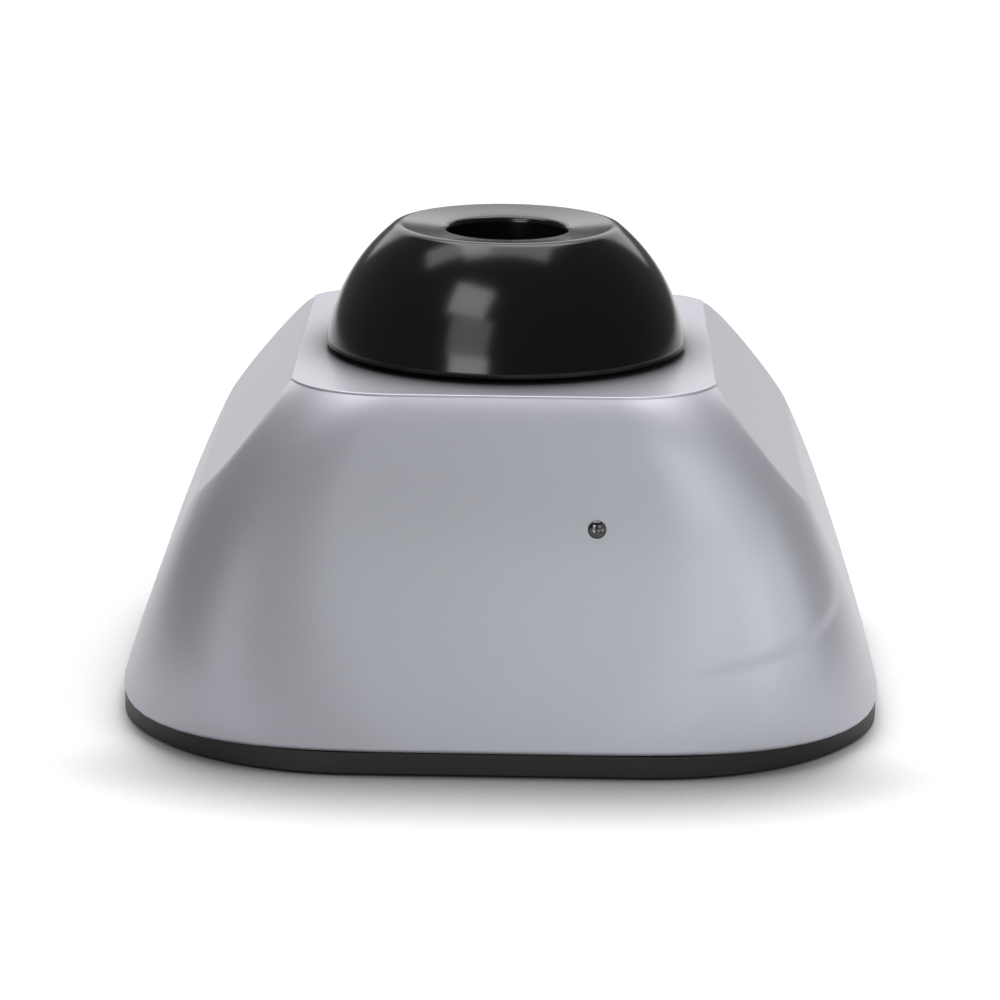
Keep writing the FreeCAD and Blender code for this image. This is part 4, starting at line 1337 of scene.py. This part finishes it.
WARM: Colour = (1.0, 0.965, 0.98)
OFF_CUP = ("rubber_cup_bell",)
OFF_HOUSING = ("silver_housing",)
CUP_ONLY = ("silver_housing", "floor")
LAMPS = (
    Lamp("sky", 180.0, 75.0, 5.8, (0.7, 0.7), tint=WARM),
    Lamp("sky_back", 180.0, 62.0, 2.7, (0.9, 0.6), 0.96, WARM),
    Lamp("back", 180.0, 27.0, 3.0, (1.2, 0.5), 1.0, WARM),
    Lamp("back_left", -150.0, 15.0, 0.47, tint=WARM, shaded=OFF_CUP),
    Lamp("back_right", 150.0, 15.0, 0.25, tint=WARM, shaded=OFF_CUP),
    Lamp("left_low", -50.0, 12.0, 0.5, shaded=OFF_CUP),
    Lamp("right_front", 12.0, 15.0, 1.1, shaded=OFF_CUP),
    Lamp("right_panel", 45.0, 15.0, 1.2, shaded=OFF_CUP),
    Lamp("right_side", 75.0, 15.0, 0.8, shaded=OFF_CUP),
    Lamp("right_high", 25.0, 45.0, 1.15, shaded=OFF_CUP),
    Lamp("right_high_side", 60.0, 45.0, 0.44, shaded=OFF_CUP),
    Lamp("cup_top", -103.0, 67.0, 1.05, (0.2, 0.5), shaded=CUP_ONLY),
    Lamp("window_high", -32.0, 50.0, 2.15, (0.36, 0.3), shaded=CUP_ONLY),
    Lamp("window", -25.0, 28.0, 1.3, (0.4, 0.38), shaded=OFF_HOUSING),
    Lamp("window_low", -23.0, 9.0, 1.95, (0.38, 0.24), shaded=CUP_ONLY),
)


@dataclass
class Studio:
    """Camera, lights, white surroundings and the pale floor.

    Attributes:
        lens: focal length in millimetres on a sensor 36 mm wide.
        eye: the camera's place, in millimetres.
        pitch: degrees that the camera looks down.
        yaw: degrees that it looks to the right.
        roll: degrees that it is tilted.
        room: colour of the surroundings as a light.
        gloss: how far a glossy reflection shows the white surroundings.
        floor_half: half the width of the floor, in millimetres.
        paper: lowest and highest tone of the floor as seen.
        paper_lit: tone of the floor as a light on the object.
        shade_tone: tone of the floor in full contact shade.
        shade_reach: reach of the contact shade, in metres.
        shade_power: strength of that shade behind and at the sides.
        front_power: extra strength of it in front.
        front_edge: where the front begins and how softly, in metres.
        far_edge: distance where the floor turns white and how softly, in metres.
    """

    lens: float = 151.0
    eye: tuple[float, float, float] = (6.24, -569.54, 170.07)
    pitch: float = 14.369
    yaw: float = -0.685
    roll: float = 0.689
    room: Colour = (0.10, 0.10, 0.104)
    gloss: float = 0.08
    floor_half: float = 3000.0
    paper: tuple[float, float] = (0.91, 0.93)
    paper_lit: float = 0.70
    shade_tone: float = 0.08
    shade_reach: float = 0.025
    shade_power: float = 0.5
    front_power: float = 2.4
    front_edge: tuple[float, float] = (0.046, 0.010)
    far_edge: tuple[float, float] = (0.5, 0.3)

    def camera(self) -> None:
        """The camera of the photo."""
        pitch, yaw, roll = (math.radians(a) for a in (self.pitch, self.yaw, self.roll))
        level_ahead = Vector((math.sin(yaw), math.cos(yaw), 0.0))
        ahead = level_ahead * math.cos(pitch) - Vector((0.0, 0.0, math.sin(pitch)))
        level = Vector((math.cos(yaw), -math.sin(yaw), 0.0))
        up = level.cross(ahead)
        right = math.cos(roll) * level + math.sin(roll) * up
        top = math.cos(roll) * up - math.sin(roll) * level
        data = bpy.data.cameras.new("photo_camera")
        data.lens, data.sensor_width = self.lens, 36.0
        data.clip_start, data.clip_end = 0.01, 20.0
        made = bpy.data.objects.new("photo_camera", data)
        turn = Matrix((right, top, -ahead)).transposed().to_4x4()
        made.matrix_world = Matrix.Translation(Vector(self.eye) * MM) @ turn
        bpy.context.scene.collection.objects.link(made)
        bpy.context.scene.camera = made

    def world(self) -> None:
        """White behind the object for the camera, and a soft room for its light."""
        world = bpy.data.worlds.new("studio")
        world.use_nodes = True
        bpy.context.scene.world = world
        graph = Graph(world.node_tree)
        room = graph.node("ShaderNodeBackground", Color=self.room, Strength=1.0)
        white = graph.node("ShaderNodeBackground", Color=WHITE, Strength=1.0)
        shown = graph.blend(graph.seen(self.gloss), room, white)
        graph.node("ShaderNodeOutputWorld", Surface=shown)

    def paper_material(self) -> bpy.types.Material:
        """Pale paper with a painted contact shadow close to the object, strongest in front, and
        white far from it.

        Returns:
            The floor's material.
        """
        made = bpy.data.materials.new("floor_paper")
        made.use_nodes = True
        graph = Graph(made.node_tree)
        low, high = (grey(tone) for tone in self.paper)
        pale = graph.mix(graph.noise(400.0, 3.0), low, high)
        tone = graph.mix(graph.seen(), grey(self.paper_lit), pale)
        # Painted shadow: the paper darkens where the object closes in on it, more in front, on top
        # of the shadows that the lamps cast.
        ahead = 0.0 - graph.along("Y")
        power = self.shade_power + ahead.above(*self.front_edge) * self.front_power
        opening = graph.openness(self.shade_reach) ** power
        colour = graph.mix(opening, grey(self.shade_tone), tone)
        paper = graph.node("ShaderNodeBsdfPrincipled", Base_Color=colour, Roughness=0.9)
        white = graph.node("ShaderNodeEmission", Color=WHITE, Strength=1.0)
        away = graph.node("ShaderNodeVectorMath", {"operation": "LENGTH"}, Vector=graph.place())
        far = graph.seen(self.gloss) * away.above(*self.far_edge)
        graph.node("ShaderNodeOutputMaterial", Surface=graph.blend(far, paper, white))
        return made

    def floor(self) -> None:
        """A wide pale floor that keeps the lamps' cast shadow, with a painted contact shadow added.
        """
        half = self.floor_half
        points = np.array([(-half, -half, 0), (half, -half, 0), (half, half, 0), (-half, half, 0)])
        mesh = Shaper.mesh("floor", points, [(0, 1, 2, 3)])
        mesh.materials.append(self.paper_material())
        made = bpy.data.objects.new("floor", mesh)
        bpy.context.scene.collection.objects.link(made)

    def build(self) -> None:
        """Set up the whole studio."""
        bpy.context.scene.view_settings.view_transform = "Standard"
        self.camera()
        self.world()
        self.floor()
        for lamp in LAMPS:
            lamp.build()


def dress_frame() -> None:
    """Give every frame node the finish of its material slot."""
    slots = {entry["node"]: entry["material_slot"] for entry in frame["record"]["subparts"]}
    for name, thing in frame["nodes"].items():
        finish = FINISHES[slots[name]].material()
        if not thing.data.materials:
            thing.data.materials.append(finish)
        for index in range(len(thing.data.materials)):
            thing.data.materials[index] = finish
        LOG.info("node %s wears %s", name, slots[name])


def main() -> None:
    """Build the looks of the mixer and its studio."""
    logging.basicConfig(level=logging.INFO)
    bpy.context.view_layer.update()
    dress_frame()
    housing = Housing()
    for assembly in (housing, Indicator(housing), Cup(), Underside()):
        for made in assembly.build():
            LOG.info("piece %s with %d faces", made.name, len(made.data.polygons))
    Studio().build()


if __name__ == "__main__":
    main()
